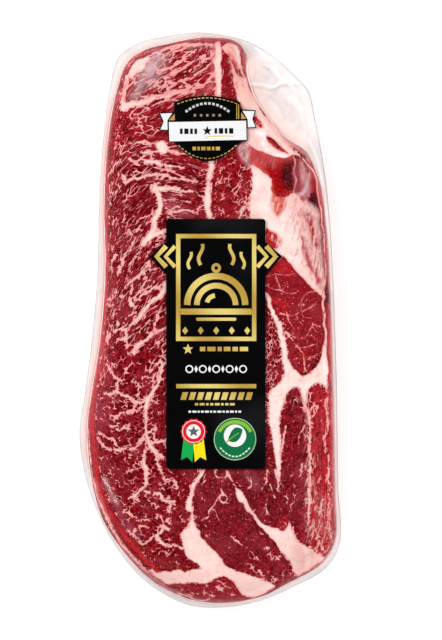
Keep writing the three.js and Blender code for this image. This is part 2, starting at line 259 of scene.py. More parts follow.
FAT_AREAS = {
    "top_left_patch": [(128, 78), (128.6, 70), (132, 64.5), (137, 60.5), (143, 57.2), (148.5, 55.6),
                       (149.4, 59), (145, 63.4), (145, 67.5), (141, 71), (136, 73.5), (131.5, 78)],
    "upper_left_seam": [(120, 107), (123, 102), (130, 102), (140, 99.5), (150, 96.6), (157, 95),
                        (155, 99.6), (147, 103), (139, 106), (131, 108), (127, 111), (121, 111.5)],
    "badge_corner": [(157, 141), (166, 143), (169, 152), (163, 154), (156, 150)],
    "salmon_band": [(222, 48), (226, 44.4), (232, 43), (237, 45), (239.4, 52), (240.6, 60), (243, 70),
                    (246, 78), (248.6, 86), (257, 99.5), (265, 115), (276.4, 126.8), (288, 141),
                    (295, 150.5), (302, 155), (294, 155), (283, 146), (271, 135), (262, 129), (256, 119),
                    (248, 112), (240, 106), (235.7, 97), (233.4, 82), (231, 66), (228.6, 56), (224, 53)],
    "knob": [(245, 129), (254, 122), (262, 124), (271, 132), (283, 143), (294, 153), (291, 157), (286, 159),
             (274, 157), (264, 152.5), (255, 148.5), (247, 144)],
    "right_fat": [(251, 165), (262, 172), (271, 180), (273, 194), (284, 197), (294, 193), (299, 197),
                  (304, 205), (299, 213), (303, 222), (298.6, 232), (303, 242), (302, 252), (309, 266),
                  (318, 283), (324, 299), (316, 291), (304, 279), (294, 269), (283, 257), (276, 262),
                  (266, 250), (262, 222), (249, 219), (248, 205), (251, 190), (252, 178)],
    "right_junction": [(264.5, 292), (266.5, 292), (275.5, 311), (281.5, 326), (284.6, 340), (286.8, 352),
                       (290, 363), (295.6, 371), (303, 375.6), (311, 373), (317.6, 366), (321.6, 355),
                       (324, 341), (325.4, 330), (327, 345), (327.5, 384), (325, 387), (321, 385.5),
                       (316, 384), (311, 387), (307.5, 392), (306, 402), (303, 402), (302, 393), (298, 388),
                       (293.5, 388.5), (286, 396), (281.5, 411), (280.5, 430), (281, 450), (280.5, 470),
                       (279.5, 490), (277, 475), (274, 455), (271, 430), (268, 410), (269, 396), (273, 389),
                       (280, 383), (283.6, 374), (282.6, 360), (279.6, 346), (276.4, 326), (269.6, 310)],
    "lower_left": [(203.5, 469), (197, 477), (192, 484), (190.5, 492), (186.5, 503), (187, 509),
                   (190.7, 513), (190.7, 522), (188, 527), (182, 532), (183, 544), (186.4, 556), (192, 562),
                   (198, 566), (199, 568), (191, 570), (184, 571), (181.6, 569), (173, 571), (169, 573),
                   (165, 571), (157, 572), (150, 568), (150, 571), (155, 576.5), (164.4, 582.7),
                   (179, 583.7), (193, 583.7), (203.6, 582.7), (215, 579), (222.7, 576.5), (228.5, 578),
                   (234, 583), (238, 590), (244, 595), (255, 598), (269.6, 590), (275, 587), (263, 580),
                   (250.5, 575), (236, 571), (226.6, 564.5), (217, 554), (207, 543.5), (200, 534),
                   (194, 522), (193.5, 510), (193.5, 494), (196, 486), (205, 469)],
    "lower_right": [(228.5, 469), (231, 477), (236, 487), (245, 493), (246.5, 499), (251, 508), (258, 517),
                    (265, 523), (271, 527), (277, 527), (283, 531), (286.5, 529), (289, 521), (293, 529),
                    (299, 541), (310, 548), (324, 558), (316, 566), (305, 573), (297, 577), (293.5, 573),
                    (289, 562), (284, 557), (278, 546), (270, 538), (263, 530), (255, 520), (252, 515),
                    (247, 511), (243, 503), (239, 503), (236, 496), (235, 489), (232, 481), (227, 476),
                    (225.6, 469)],
}
LEAN_ISLANDS = {
    "seam_sliver": [(181, 567.5), (188, 566.5), (195, 566), (200, 568), (194, 569.5), (185, 570)],
    "seam_spot_upper": [(169, 143), (172, 144), (172, 148), (168, 148)],
    "seam_lens": [(148.5, 179), (153, 177), (159, 178), (161, 181), (156, 183), (150, 182)],
    "seam_dot": [(151, 197), (154, 198), (154, 203), (151, 203)],
    "seam_lobe": [(147, 208), (152, 206), (156, 210), (154, 215), (149, 216)],
    "band_streak": [(230, 58), (233, 60), (238, 67), (243.5, 77), (240, 76), (235, 70)],
    "knob_sliver": [(266.6, 136), (270, 137.6), (276, 142.4), (283, 148.6), (288.5, 154), (283, 152),
                    (276, 147.6), (269, 142)],
    "tail_sliver": [(254.5, 116), (257, 117), (262, 127), (259, 127)],
    "label_spot": [(267, 228), (271, 231.6), (277.4, 237), (278.6, 243), (275, 248), (268, 247)],
    "fat_rift": [(236, 209), (242, 206), (248, 209), (249, 217), (240, 219), (235, 218)],
}
VEINS = [
    # top muscle
    (3.5, 4.5, [(127, 76), (125, 86), (123.4, 95), (123, 103)]),
    (4.5, 3.4, [(148, 99.6), (158.6, 97), (167, 95.7), (174, 93.6), (184, 92)]),
    (3.4, 3, [(184, 92), (195.7, 88.6), (203, 85), (210, 79.3), (213, 76)]),
    (3.4, 1.6, [(159, 72.4), (165.7, 68.6), (173, 65.7), (181.4, 60.7), (190, 53.6), (196, 50.4)]),
    (1.6, 2.2, [(150, 87), (157, 83.6), (163, 80.7), (173, 73.6), (180, 70.7), (187, 65.7), (196, 60.7),
                (204, 56.4)]),
    (1.6, 2, [(161.4, 96.4), (167, 92), (173, 86.4), (178.6, 82), (187, 79.3), (195.7, 75), (203, 69.3),
              (210, 63.6)]),
    (1.4, 1, [(128.6, 77), (135.7, 75), (143, 73.4)]),
    (1.4, 1, [(126.4, 87), (131.4, 85), (139, 82), (144, 78)]),
    (1.6, 1.6, [(172, 58), (174.3, 52), (181.4, 49), (190, 46.4)]),
    (1, 1, [(158, 90), (160, 86), (164, 85.6), (165, 90), (160.6, 92.4), (158, 90)]),
    (2.4, 1.4, [(161, 89.4), (162.6, 88)]),
    (1.2, 1, [(176, 90), (186, 86), (198, 82)]),
    (1.2, 1, [(190, 71), (199, 66), (209, 58)]),
    (3, 4, [(152, 53.4), (165, 48.6), (180, 45), (195, 43.8), (212, 43.8)]),
    (9, 9.4, [(217.6, 44), (217.8, 60), (217.8, 78)]),
    (8.6, 6.4, [(217.8, 76), (218.6, 90), (218.8, 101)]),
    (1.6, 1.2, [(294.2, 156), (295.4, 163), (294.6, 171), (295.4, 179), (294.4, 187), (293.6, 194)]),
    (2.4, 2, [(296, 151), (305, 161), (312, 169.5), (317, 184), (320, 208), (322.6, 230), (324.6, 250),
              (325.4, 270), (325, 284)]),
    (3, 3.4, [(324, 280), (323.4, 300), (325, 326), (326, 345)]),
    # left muscle, upper part
    (3, 2, [(142, 153), (156, 152), (171.5, 152), (181, 153.4), (192, 156)]),
    (3, 2, [(129, 158), (132.5, 162), (138, 161), (144, 156), (145, 153)]),
    (1.5, 1.5, [(107, 176), (113, 168), (118, 162)]),
    (2, 2, [(131, 144), (144, 142), (149, 145), (157, 143)]),
    (6, 5, [(147, 161), (155, 161), (160, 163)]),
    (3, 1.5, [(160, 165), (166, 166), (175, 167), (184, 167.5)]),
    (2, 1.5, [(157, 167.5), (164, 170), (171.5, 171), (179, 175), (185, 179), (197.5, 182)]),
    (4, 1.5, [(123, 177), (125.6, 183), (128, 181), (138, 178), (149, 176), (160, 175), (166, 176),
              (175, 178), (186, 180), (198, 182.5)]),
    (4, 7, [(165, 176), (160, 181), (155, 185), (154.7, 190.5)]),
    (7, 1, [(155, 190), (168, 189), (179, 190), (190.6, 191), (197, 192)]),
    (6, 7, [(156, 191), (159, 198), (160, 205), (159, 210), (156, 216.5), (154, 223), (154.7, 228),
            (151.6, 234), (147, 239), (143.5, 245)]),
    (7, 5, [(145, 240), (153, 236), (161, 232.5), (168, 230)]),
    (1.5, 1, [(163, 201), (171.5, 200), (181.5, 200), (189, 201)]),
    (1.5, 1, [(168.5, 212), (173, 209), (179, 206.6), (181.5, 204)]),
    (2, 2, [(166, 213.4), (176, 212), (187, 211), (198, 213.4)]),
    (1.5, 1, [(167, 213), (167.7, 219)]),
    (8, 7, [(212.5, 158), (211, 168), (209.5, 178)]),
    (5, 10, [(209, 177), (208.5, 186), (207, 195), (206.5, 203)]),
    (9, 6, [(206.5, 202), (207.5, 210), (210.5, 219)]),
    (3, 2, [(206, 203), (201, 206), (198, 212)]),
    (2, 1, [(204, 198), (199, 195), (196, 191)]),
    (2, 2, [(141, 249), (148, 244), (157, 239), (165, 236)]),
    # left muscle, middle part
    (1.5, 2.5, [(111, 271), (112, 261), (115.5, 256)]),
    (2, 2, [(122, 263), (125, 256), (132, 247), (133.5, 242)]),
    (2, 1.5, [(118, 275), (121, 268), (123, 265)]),
    (1.5, 1.5, [(129, 265), (135, 258), (139, 251.5)]),
    (1.2, 1.2, [(129, 265), (129, 272)]),
    (3, 2, [(144, 270), (138, 277), (132, 281), (125, 287)]),
    (3, 2, [(144, 270), (147, 265), (149, 261)]),
    (3, 1, [(144, 270), (145, 276), (144, 286), (135, 297)]),
    (3, 1, [(161, 286), (147, 292), (135, 299)]),
    (6, 4, [(166, 283), (162, 294), (153, 301), (145, 309), (139, 316), (135, 321)]),
    (4, 3, [(135, 321), (130, 328), (127, 331)]),
    (3, 3, [(127, 331), (122, 329.5), (116, 331)]),
    (1.5, 1, [(119, 327), (118, 320)]),
    (3, 2, [(127, 331), (128, 336), (125, 339), (119, 340), (115, 343)]),
    (1.5, 1, [(125, 339), (127, 347)]),
    (1.5, 1.2, [(135, 312), (132, 313.5), (127, 319)]),
    (3, 5, [(166, 328), (159, 330), (153, 333), (147, 339), (141, 344), (135, 349), (133, 353)]),
    (1.5, 1, [(108, 332), (108.6, 346)]),
    (1.5, 1, [(115.5, 289), (112, 297), (108.6, 300)]),
    (4.5, 4.5, [(130.5, 299), (132, 305)]),
    (1.5, 1, [(131.6, 286), (131, 294)]),
    (1.5, 1, [(160.6, 306), (159, 310), (154, 329.5)]),
    # left muscle, lower part
    (1.5, 2, [(105.6, 364), (110, 369), (113, 374.5), (115.6, 378), (118.6, 380), (118.6, 386),
              (117, 391)]),
    (2.5, 4, [(105.6, 393), (112, 394), (116, 391), (123, 394), (128.6, 396), (132, 400), (140, 402),
              (146, 401)]),
    (1.5, 1, [(112, 394), (112.5, 403), (113, 407), (116, 410)]),
    (5, 4.4, [(147, 401), (151.5, 394), (156, 388), (159, 381)]),
    (4.4, 3.4, [(159, 381), (160, 374), (163, 366), (160, 361)]),
    (3.4, 2, [(161, 368), (164, 364), (167, 360)]), (2, 1, [(160, 362), (155, 366), (151, 371)]),
    (5, 2.6, [(147, 401), (146, 408), (145, 418), (144.6, 425)]),
    (2.6, 4, [(144.6, 425), (146, 433), (148.5, 440), (150, 446.5)]),
    (2.5, 2, [(144, 406), (136, 411)]),
    (3, 2, [(146, 436.5), (140, 440), (138, 444), (132, 449), (128, 447), (121, 449.5), (116, 451)]),
    (2, 1, [(116, 451), (112, 450), (105.6, 448), (101, 443), (97, 437)]),
    (1.5, 2, [(99.5, 432), (105.6, 437), (114, 440), (116, 445), (121, 449)]),
    (5, 3.5, [(150, 445), (156, 453), (162, 457)]),
    (4, 3, [(150, 443), (158, 441.5), (166, 440)]),
    (1.5, 1.5, [(154, 430), (154.6, 440)]),
    (2, 2, [(148, 432), (156, 429), (156, 426)]),
    (2.5, 2, [(158, 456), (159, 466), (162, 473)]),
    (2, 4, [(148, 446.5), (145, 452), (143, 459.5), (143.5, 466)]),
    (4.5, 2, [(143.5, 465), (146, 471), (146, 480)]),
    (1.5, 2, [(124, 413), (130, 410.5), (131.6, 412), (135, 404), (136, 401)]),
    (2, 1.5, [(115, 416), (119, 416.6), (121, 413.6)]),
    (1.5, 2, [(109, 425), (115, 427), (119, 430), (124, 427), (128, 428), (129, 425)]),
    (1.5, 1.5, [(132, 376), (132, 380), (137, 383), (138, 391), (139, 395), (138.5, 399)]),
    (1.5, 1.5, [(151, 378), (156, 374)]),
    (2, 1.5, [(142, 378), (146, 376)]),
    (2, 1.5, [(125.5, 368), (125.5, 373)]),
    (2, 1.5, [(132, 450), (130, 459)]),
    (2, 1.5, [(128.6, 471), (134, 471)]),
    # left muscle, bottom end
    (1, 1, [(104.5, 479), (107, 485), (112, 493)]),
    (4, 2.5, [(143.5, 464), (147, 468), (147, 478), (145, 486)]),
    (1.5, 4, [(145, 486), (140, 491.5), (136, 496.5)]),
    (4, 1.5, [(136, 496.5), (129, 498.5)]),
    (1.5, 1, [(136, 496.5), (139, 500.6)]),
    (3, 1.5, [(145, 491.5), (151, 493)]),
    (2.5, 2, [(158, 462), (162, 471), (165, 479), (166, 484)]),
    (2.5, 2, [(165, 479), (171.6, 480), (175, 483), (177, 487)]),
    (2, 3, [(155, 494), (160, 494), (162, 498), (167.5, 500.6), (173, 503)]),
    (2, 1, [(167.5, 500.6), (169, 496.5)]),
    (2.5, 1.5, [(170, 503), (169, 510), (171.6, 512)]),
    (2, 1.5, [(155, 515.5), (161, 516)]),
    (2, 1.5, [(123.6, 512), (129, 513), (131, 515)]),
    (2, 1, [(133, 516), (136, 517)]),
    (1, 1, [(137, 520.5), (145, 519)]),
    (1.8, 1.4, [(147.6, 527), (142.6, 526), (138, 528), (135, 531), (135, 536), (138.5, 541), (145, 543),
                (154, 534.6)]),
    (1.2, 1, [(127, 530), (134, 532)]),
    (4, 3, [(168, 529), (164, 526), (161, 532), (157, 535), (157.5, 539)]),
    (3.5, 3, [(157.5, 539), (162.5, 544), (169, 546), (176, 545), (183, 548)]),
    # bottom muscle
    (2, 2.5, [(178, 594), (188, 597), (198, 600), (210, 600)]),
    (2, 2, [(204, 593), (210, 596), (215, 597)]),
    (2, 1.5, [(219, 590), (223, 590)]),
    (2, 1.5, [(227, 586), (231, 587)]),
    # the slab's left edge
    (1.2, 1.8, [(105, 235), (104.6, 270), (101.4, 310), (99, 345), (95.4, 368), (91.4, 392), (87.8, 412)]),
    (1.8, 2, [(87.8, 412), (87.4, 430), (89.6, 462), (94, 484), (99, 503), (109, 523), (121, 544),
              (134, 559), (148, 573)]),
    # lower middle muscle
    (1.2, 2.5, [(221, 481), (221, 489), (223, 495)]),
    (2, 2, [(220, 496), (219.5, 500), (223, 503), (227, 500), (226, 496), (222, 495)]),
    (2, 1.5, [(219, 497), (216, 502), (211, 508), (208, 511), (208, 517), (202, 520.5)]),
    (1.4, 1, [(212, 508), (216, 511), (218, 519)]),
    (1.4, 1.2, [(225, 503), (229, 504)]),
    (2, 2, [(216, 470), (216, 476.5), (225, 476.5), (226.5, 470)]),
    (1, 1, [(205.5, 480), (202, 485)]),
    (1.5, 3.2, [(231, 535), (236, 540)]),
    (3.2, 1, [(236, 540), (242, 544.5)]),
    (1.2, 1, [(245, 564), (250, 563), (254, 567)]),
    (1.5, 1.2, [(259, 570), (264, 576)]),
    # muscle between the seams
    (3, 2, [(267, 471), (268, 477), (264, 484)]),
    (2, 1.2, [(264, 484), (261, 490)]),
    (4, 1, [(275, 470), (278, 482), (278.7, 490)]),
    (1.2, 1, [(270, 483), (274, 497)]),
    (1.4, 1.2, [(267, 497.5), (267, 511), (270, 515)]),
    (1.4, 1.2, [(251, 477), (251, 485), (248, 488)]),
    # right muscles
    (1.3, 1.0, [(267, 278), (275, 274.5), (285, 275), (295, 273.4)]),
    (1.3, 1.0, [(275, 275), (279, 284), (281, 290), (285, 285)]),
    (1.3, 1.0, [(267, 286), (273, 288), (281, 290), (288, 293), (296, 292)]),
    (1.4, 1.1, [(301, 311), (301, 300), (304, 295), (310, 292), (316, 291.6), (321, 296)]),
    (1.6, 1.1, [(279, 312), (288, 315), (295, 314), (301, 311), (309, 308), (315, 304)]),
    (1.1, 0.9, [(301, 311), (304, 317), (311, 319)]), (1.1, 0.9, [(295, 314), (298, 320), (302, 325)]),
    (1.2, 1.0, [(288, 315), (289, 322), (293, 328)]),
    (1.4, 1.1, [(321, 326), (313, 325), (308, 332), (303, 339), (295, 338), (285, 332)]),
    (1.4, 1.9, [(288, 336), (293, 342), (298, 348), (304, 355), (304.4, 372)]),
    (1.1, 0.9, [(298, 348), (307, 347), (314, 344)]), (1.1, 0.9, [(313, 325), (316, 331), (321, 333)]),
    (1.2, 1.0, [(304, 355), (311, 357), (317, 353)]),
    (3, 2.5, [(286.5, 428), (284, 439), (282, 449)]),
    (1.5, 1, [(305, 425), (299, 436), (298, 445)]),
    (1.5, 1, [(301, 463.5), (300, 476.5)]),
    (4, 2.5, [(302, 391), (305, 406), (309.5, 419), (309.5, 440)]),
    (2.5, 3.5, [(309.5, 440), (309.5, 466), (309.5, 492)]),
    (4.5, 2, [(309.5, 492), (309, 508), (308, 523)]),
    (1.5, 1.2, [(327, 399), (327.5, 428), (324, 440), (328, 456), (329.6, 500), (329, 535)]),
    (1.2, 1, [(318, 407), (311, 417.5)]),
    (1.5, 1.2, [(324, 499.5), (319.5, 512)]),
    (1.6, 1.4, [(314, 528), (318, 540), (324, 551)]),
]
# Small stars of fat: middle, reach, turn in degrees.
STARS = [
    ((161, 86), 3, 10), ((130, 232), 5, 20), ((138, 230), 5, 70), ((121.6, 296), 3, 0),
    ((111, 305), 3.5, 30), ((108.5, 337), 3, 50), ((148, 322), 3, 20), ((133, 353), 6, 10),
    ((156, 507), 3, 0), ((288, 314), 3.6, 15), ((282, 293), 2.4, 60), ((275, 580), 3.4, 0),
    ((277, 558), 3, 30), ((267, 549), 2.4, 10), ((204, 593), 3, 0), ((144, 270), 6, 40),
    ((147, 401), 7, 20), ((143.5, 465), 4.5, 80), ((136, 496.5), 4, 30), ((119, 450), 3, 0),
    ((112, 394), 3, 30), ((223, 590), 2.4, 50), ((268, 478), 3.6, 0), ((309, 503), 6, 15),
    ((304, 304), 2.4, 5),
]

# Paint of the cut face, as it should look in the picture. Each patch is a paint, a soft border in picture
# units and either a closed outline or, after "line", a width and the line that it follows.
PAINTS = {
    "left_lean": (118, 7, 17), "net_lean": (114, 7, 18), "top_lean": (142, 16, 28),
    "heart_lean": (136, 11, 21), "round_lean": (147, 22, 32), "strip_lean": (123, 13, 24),
    "edge_lean": (166, 31, 42), "low_lean": (123, 18, 29), "low_mauve": (142, 40, 52),
    "low_deep": (114, 12, 24), "end_lean": (148, 24, 35), "deep_lean": (104, 12, 22),
    "bright_lean": (178, 26, 34), "fresh_red": (196, 34, 38), "mauve": (146, 58, 72), "rose": (190, 76, 80),
    "side_pink": (206, 110, 112), "marrow_red": (168, 8, 11), "marrow_deep": (64, 5, 14),
    "top_rim": (172, 40, 50), "bone_rose": (200, 72, 74), "cartilage": (180, 84, 88),
    "striated": (244, 194, 188), "dark_slot": (68, 8, 18), "cream": (250, 219, 211),
    "rosy_fat": (246, 204, 198), "salmon_fat": (240, 172, 164), "pale_fat": (252, 229, 222),
    # Of these, white is whitish fat, and at the knob's middle a painted highlight.
    "pink_fat": (246, 200, 194), "white": (252, 244, 242), "tissue": (218, 88, 70),
    "fascia": (220, 180, 180), "lilac": (212, 138, 142), "band_fat": (248, 200, 187),
    "slot_red": (158, 36, 54), "slot_rose": (188, 52, 54), "striped_fat": (244, 196, 190),
    "low_fat": (242, 206, 199), "low_pink": (232, 174, 168), "wall_rose": (228, 146, 140),
    "thread_pink": (228, 158, 154), "vein_fat": (249, 219, 211), "plate_pink": (206, 118, 124),
    "painted_cartilage_glint": (232, 212, 214), "plate_white": (240, 196, 194),
}
LEAN_PATCHES = [
    ("net_lean", 12, [(96, 150), (130, 144), (164, 200), (156, 310), (112, 330), (98, 300)]),
    ("top_lean", 6, [(125, 40), (245, 36), (250, 100), (262, 150), (110, 150), (112, 100)]),
    ("heart_lean", 5, [(208, 155), (252, 160), (252, 215), (212, 219), (206, 180)]),
    ("round_lean", 2, [(262, 262), (275, 262), (283, 257), (294, 269), (304, 279), (316, 291), (321, 300),
                       (321, 348), (316, 361), (304, 374), (291, 365), (284, 335), (270, 300)]),
    ("bright_lean", 3, [(268, 262), (283, 258), (296, 270), (290, 276), (276, 272)]),
    ("bright_lean", 3, [(271, 300), (279, 297), (288, 303), (284, 314), (279, 312)]),
    ("strip_lean", 2, [(281, 400), (290, 389), (300, 388), (306, 400), (308, 520), (300, 540), (286, 514),
                       (281, 460)]),
    ("edge_lean", 3, [(308, 392), (315, 386), (322, 388), (330, 400), (331, 545), (324, 556), (310, 545),
                      (309, 440)]),
    ("bright_lean", 3, [(321, 392), (331, 392), (332, 530), (326, 520), (324, 430)]),
    ("low_lean", 3, [(245, 469), (268, 469), (279, 492), (290, 520), (284, 532), (262, 520), (248, 500),
                     (236, 485)]),
    ("low_deep", 8, [(266, 470), (304, 462), (304, 505), (298, 532), (284, 516), (272, 492)]),
    ("low_mauve", 8, [(98, 326), (110, 336), (114, 380), (106, 424), (96, 430), (95, 380)]),
    ("low_mauve", 6, ["line", 8, (300, 462), (303, 500), (306, 530)]),
    ("low_mauve", 12, [(236, 540), (262, 550), (282, 562), (286, 580), (262, 580), (240, 562)]),
    ("bright_lean", 3, [(278, 524), (287, 518), (289, 525), (283, 532)]),
    ("low_lean", 3, [(204, 472), (226, 472), (236, 500), (262, 530), (284, 558), (292, 575), (262, 580),
                     (226, 564), (200, 534), (193, 510), (194, 490)]),
    ("end_lean", 4, [(155, 585), (225, 578), (246, 596), (258, 600), (222, 606), (180, 600)]),
    ("mauve", 4, ["line", 6, (108, 480), (114, 500), (126, 522), (137, 536)]),
    ("mauve", 4, ["line", 4, (97, 400), (95, 440), (100, 466)]),
    ("mauve", 5, ["line", 14, (168, 204), (186, 216)]),
    ("top_lean", 2, ["line", 7, (225, 56), (228, 78), (231, 98)]),
    ("mauve", 4, ["line", 10, (248, 474), (256, 484)]),
    ("rose", 6, ["line", 9, (320, 500), (322, 530)]),
    ("rose", 3, ["line", 9, (196, 100), (206, 92), (212, 84)]),
    ("rose", 1.6, [(238, 45), (245, 48), (248, 60), (249, 78), (247, 82), (243, 70), (240, 56)]),
    ("slot_red", 1.2, ["line", 2.6, (239.6, 50), (242, 62), (244, 72), (246, 79)]),
    ("side_pink", 1.4, ["line", 3.6, (243, 45), (246.4, 52), (248, 64), (249, 78)]),
    ("fresh_red", 1.4, ["line", 3, (107, 128), (106.4, 150), (106, 205), (106.6, 250), (106, 290),
                        (103, 330), (98.6, 362), (94.6, 391), (91.6, 414)]),
    ("fresh_red", 2, ["line", 4.4, (91.6, 414), (91.8, 430), (94, 448), (96.4, 466), (99, 484), (104, 500),
                      (111, 514), (120, 528), (130, 542), (142, 556), (152, 566), (162, 574)]),
    ("top_rim", 1.2, ["line", 2.4, (117, 104), (121, 86), (125, 71), (131, 62), (142, 54.6), (154, 49),
                      (167, 43.4), (177, 40.6), (190, 39.4), (210, 40), (226, 41.4), (240, 46)]),
    ("side_pink", 2, ["line", 3, (212.6, 46), (212.6, 62), (212.6, 80)]),
    ("wall_rose", 1.6, ["line", 5, (286, 140), (296, 146), (306, 154), (314, 166), (319, 182)]),
    ("fresh_red", 1.5, ["line", 4.4, (312, 164), (316, 172), (319.5, 188), (322.5, 207), (325.5, 230),
                        (328, 255), (329.5, 290), (330, 330), (331, 380)]),
    ("fresh_red", 1.0, [(253.5, 115), (258, 117), (263, 128), (258, 128)]),
    ("slot_rose", 1.4, [(264, 132), (272, 135), (280, 143), (290, 154), (280, 153), (266, 145)]),
    ("deep_lean", 0.8, ["line", 2.4, (268, 137), (274, 142), (279, 147)]),
    ("tissue", 1.2, ["line", 3, (229, 54), (234, 61), (239, 69)]),
    ("deep_lean", 1.2, ["line", 3, (292.5, 148.5), (298, 152), (305, 157)]),
    ("deep_lean", 2, ["line", 3, (118, 92), (122, 82), (127, 72)]),
    ("fascia", 2, [(239, 146), (248, 141), (252, 150), (252, 163), (259, 170), (250, 168), (242, 160)]),
    ("bone_rose", 1.6, [(249, 146), (258, 149), (268, 154), (280, 158.5), (294, 157.5), (294, 193),
                        (283, 194), (274, 192), (269, 184), (263, 176), (257, 169), (250, 165)]),
    ("marrow_red", 6, [(264, 166), (276, 163), (292, 164), (293, 194), (282, 198), (272, 191), (266, 180)]),
    ("marrow_red", 5, [(270, 173), (284, 170), (288, 190), (277, 193)]),
    ("marrow_deep", 4, [(282, 169), (286, 164), (294, 161), (294, 190), (290, 190), (284, 185),
                        (281, 178)]),
    ("tissue", 1.2, ["line", 2, (253, 164), (262, 170), (268, 177), (272, 186), (274, 195)]),
    ("cartilage", 1.2, [(295.5, 159), (302, 160), (309, 168), (309, 188), (302, 196), (296, 194)]),
    ("lilac", 2, [(301, 162), (309, 168), (309, 184), (302, 184)]),
    ("mauve", 1.4, ["line", 3.4, (297.6, 161), (298.4, 178), (297.6, 192)]),
    ("deep_lean", 1.2, ["line", 1.8, (305, 163), (308, 172)]),
    ("fresh_red", 1.0, ["line", 2.2, (311.4, 168), (312.6, 180), (313, 192)]),
    ("plate_pink", 2, [(294, 193), (300, 193), (306, 188), (310, 184), (311.6, 189), (308, 197), (306, 206),
                       (300, 203)]),
    # Painted highlight: the film's glint over the cartilage.
    ("painted_cartilage_glint", 2.4, ["line", 2.2, (299, 195), (303, 193), (306, 189), (307.6, 184)]),
    ("dark_slot", 1.4, [(307, 208), (309.4, 199), (313, 192), (315.8, 193), (316.6, 210)]),
    ("dark_slot", 1.0, ["line", 1.6, (297, 199.6), (301, 203), (306, 206)]),
    ("striated", 3, [(298, 202), (316, 209), (319, 230), (322, 262), (323, 296), (312, 276), (302, 258),
                     (298, 230)]),
    ("rose", 2, ["line", 6, (308, 216), (312, 230), (316, 245)]),
    ("bright_lean", 1.2, ["line", 2, (308, 220), (312, 230), (315.6, 243)]),
    ("fresh_red", 1.4, [(266, 228), (273, 231), (280, 239), (277, 248), (268, 248)]),
    ("rose", 1.6, ["line", 3.4, (302, 238), (303.5, 255)]),
    ("rose", 2, ["line", 4, (306, 250), (309, 262), (314, 274)]),
    ("rose", 2.5, ["line", 6, (311, 270), (318, 281)]),
    ("deep_lean", 1.2, ["line", 3, (313, 287), (319, 290)]),
    ("dark_slot", 1.3, [(324, 283), (328, 283), (328.5, 303), (325, 303)]),
    ("side_pink", 1.6, ["line", 4, (320, 180), (324.6, 204), (327.6, 230), (330.4, 270), (331.6, 310),
                        (332.6, 350), (333.6, 390), (334.6, 440), (335.6, 490), (336, 541), (330, 554),
                        (323, 563)]),
    ("side_pink", 1.5, ["line", 3.4, (94, 480), (101, 503), (110, 523), (122, 545), (136, 562), (152, 577),
                        (172, 592)]),
]
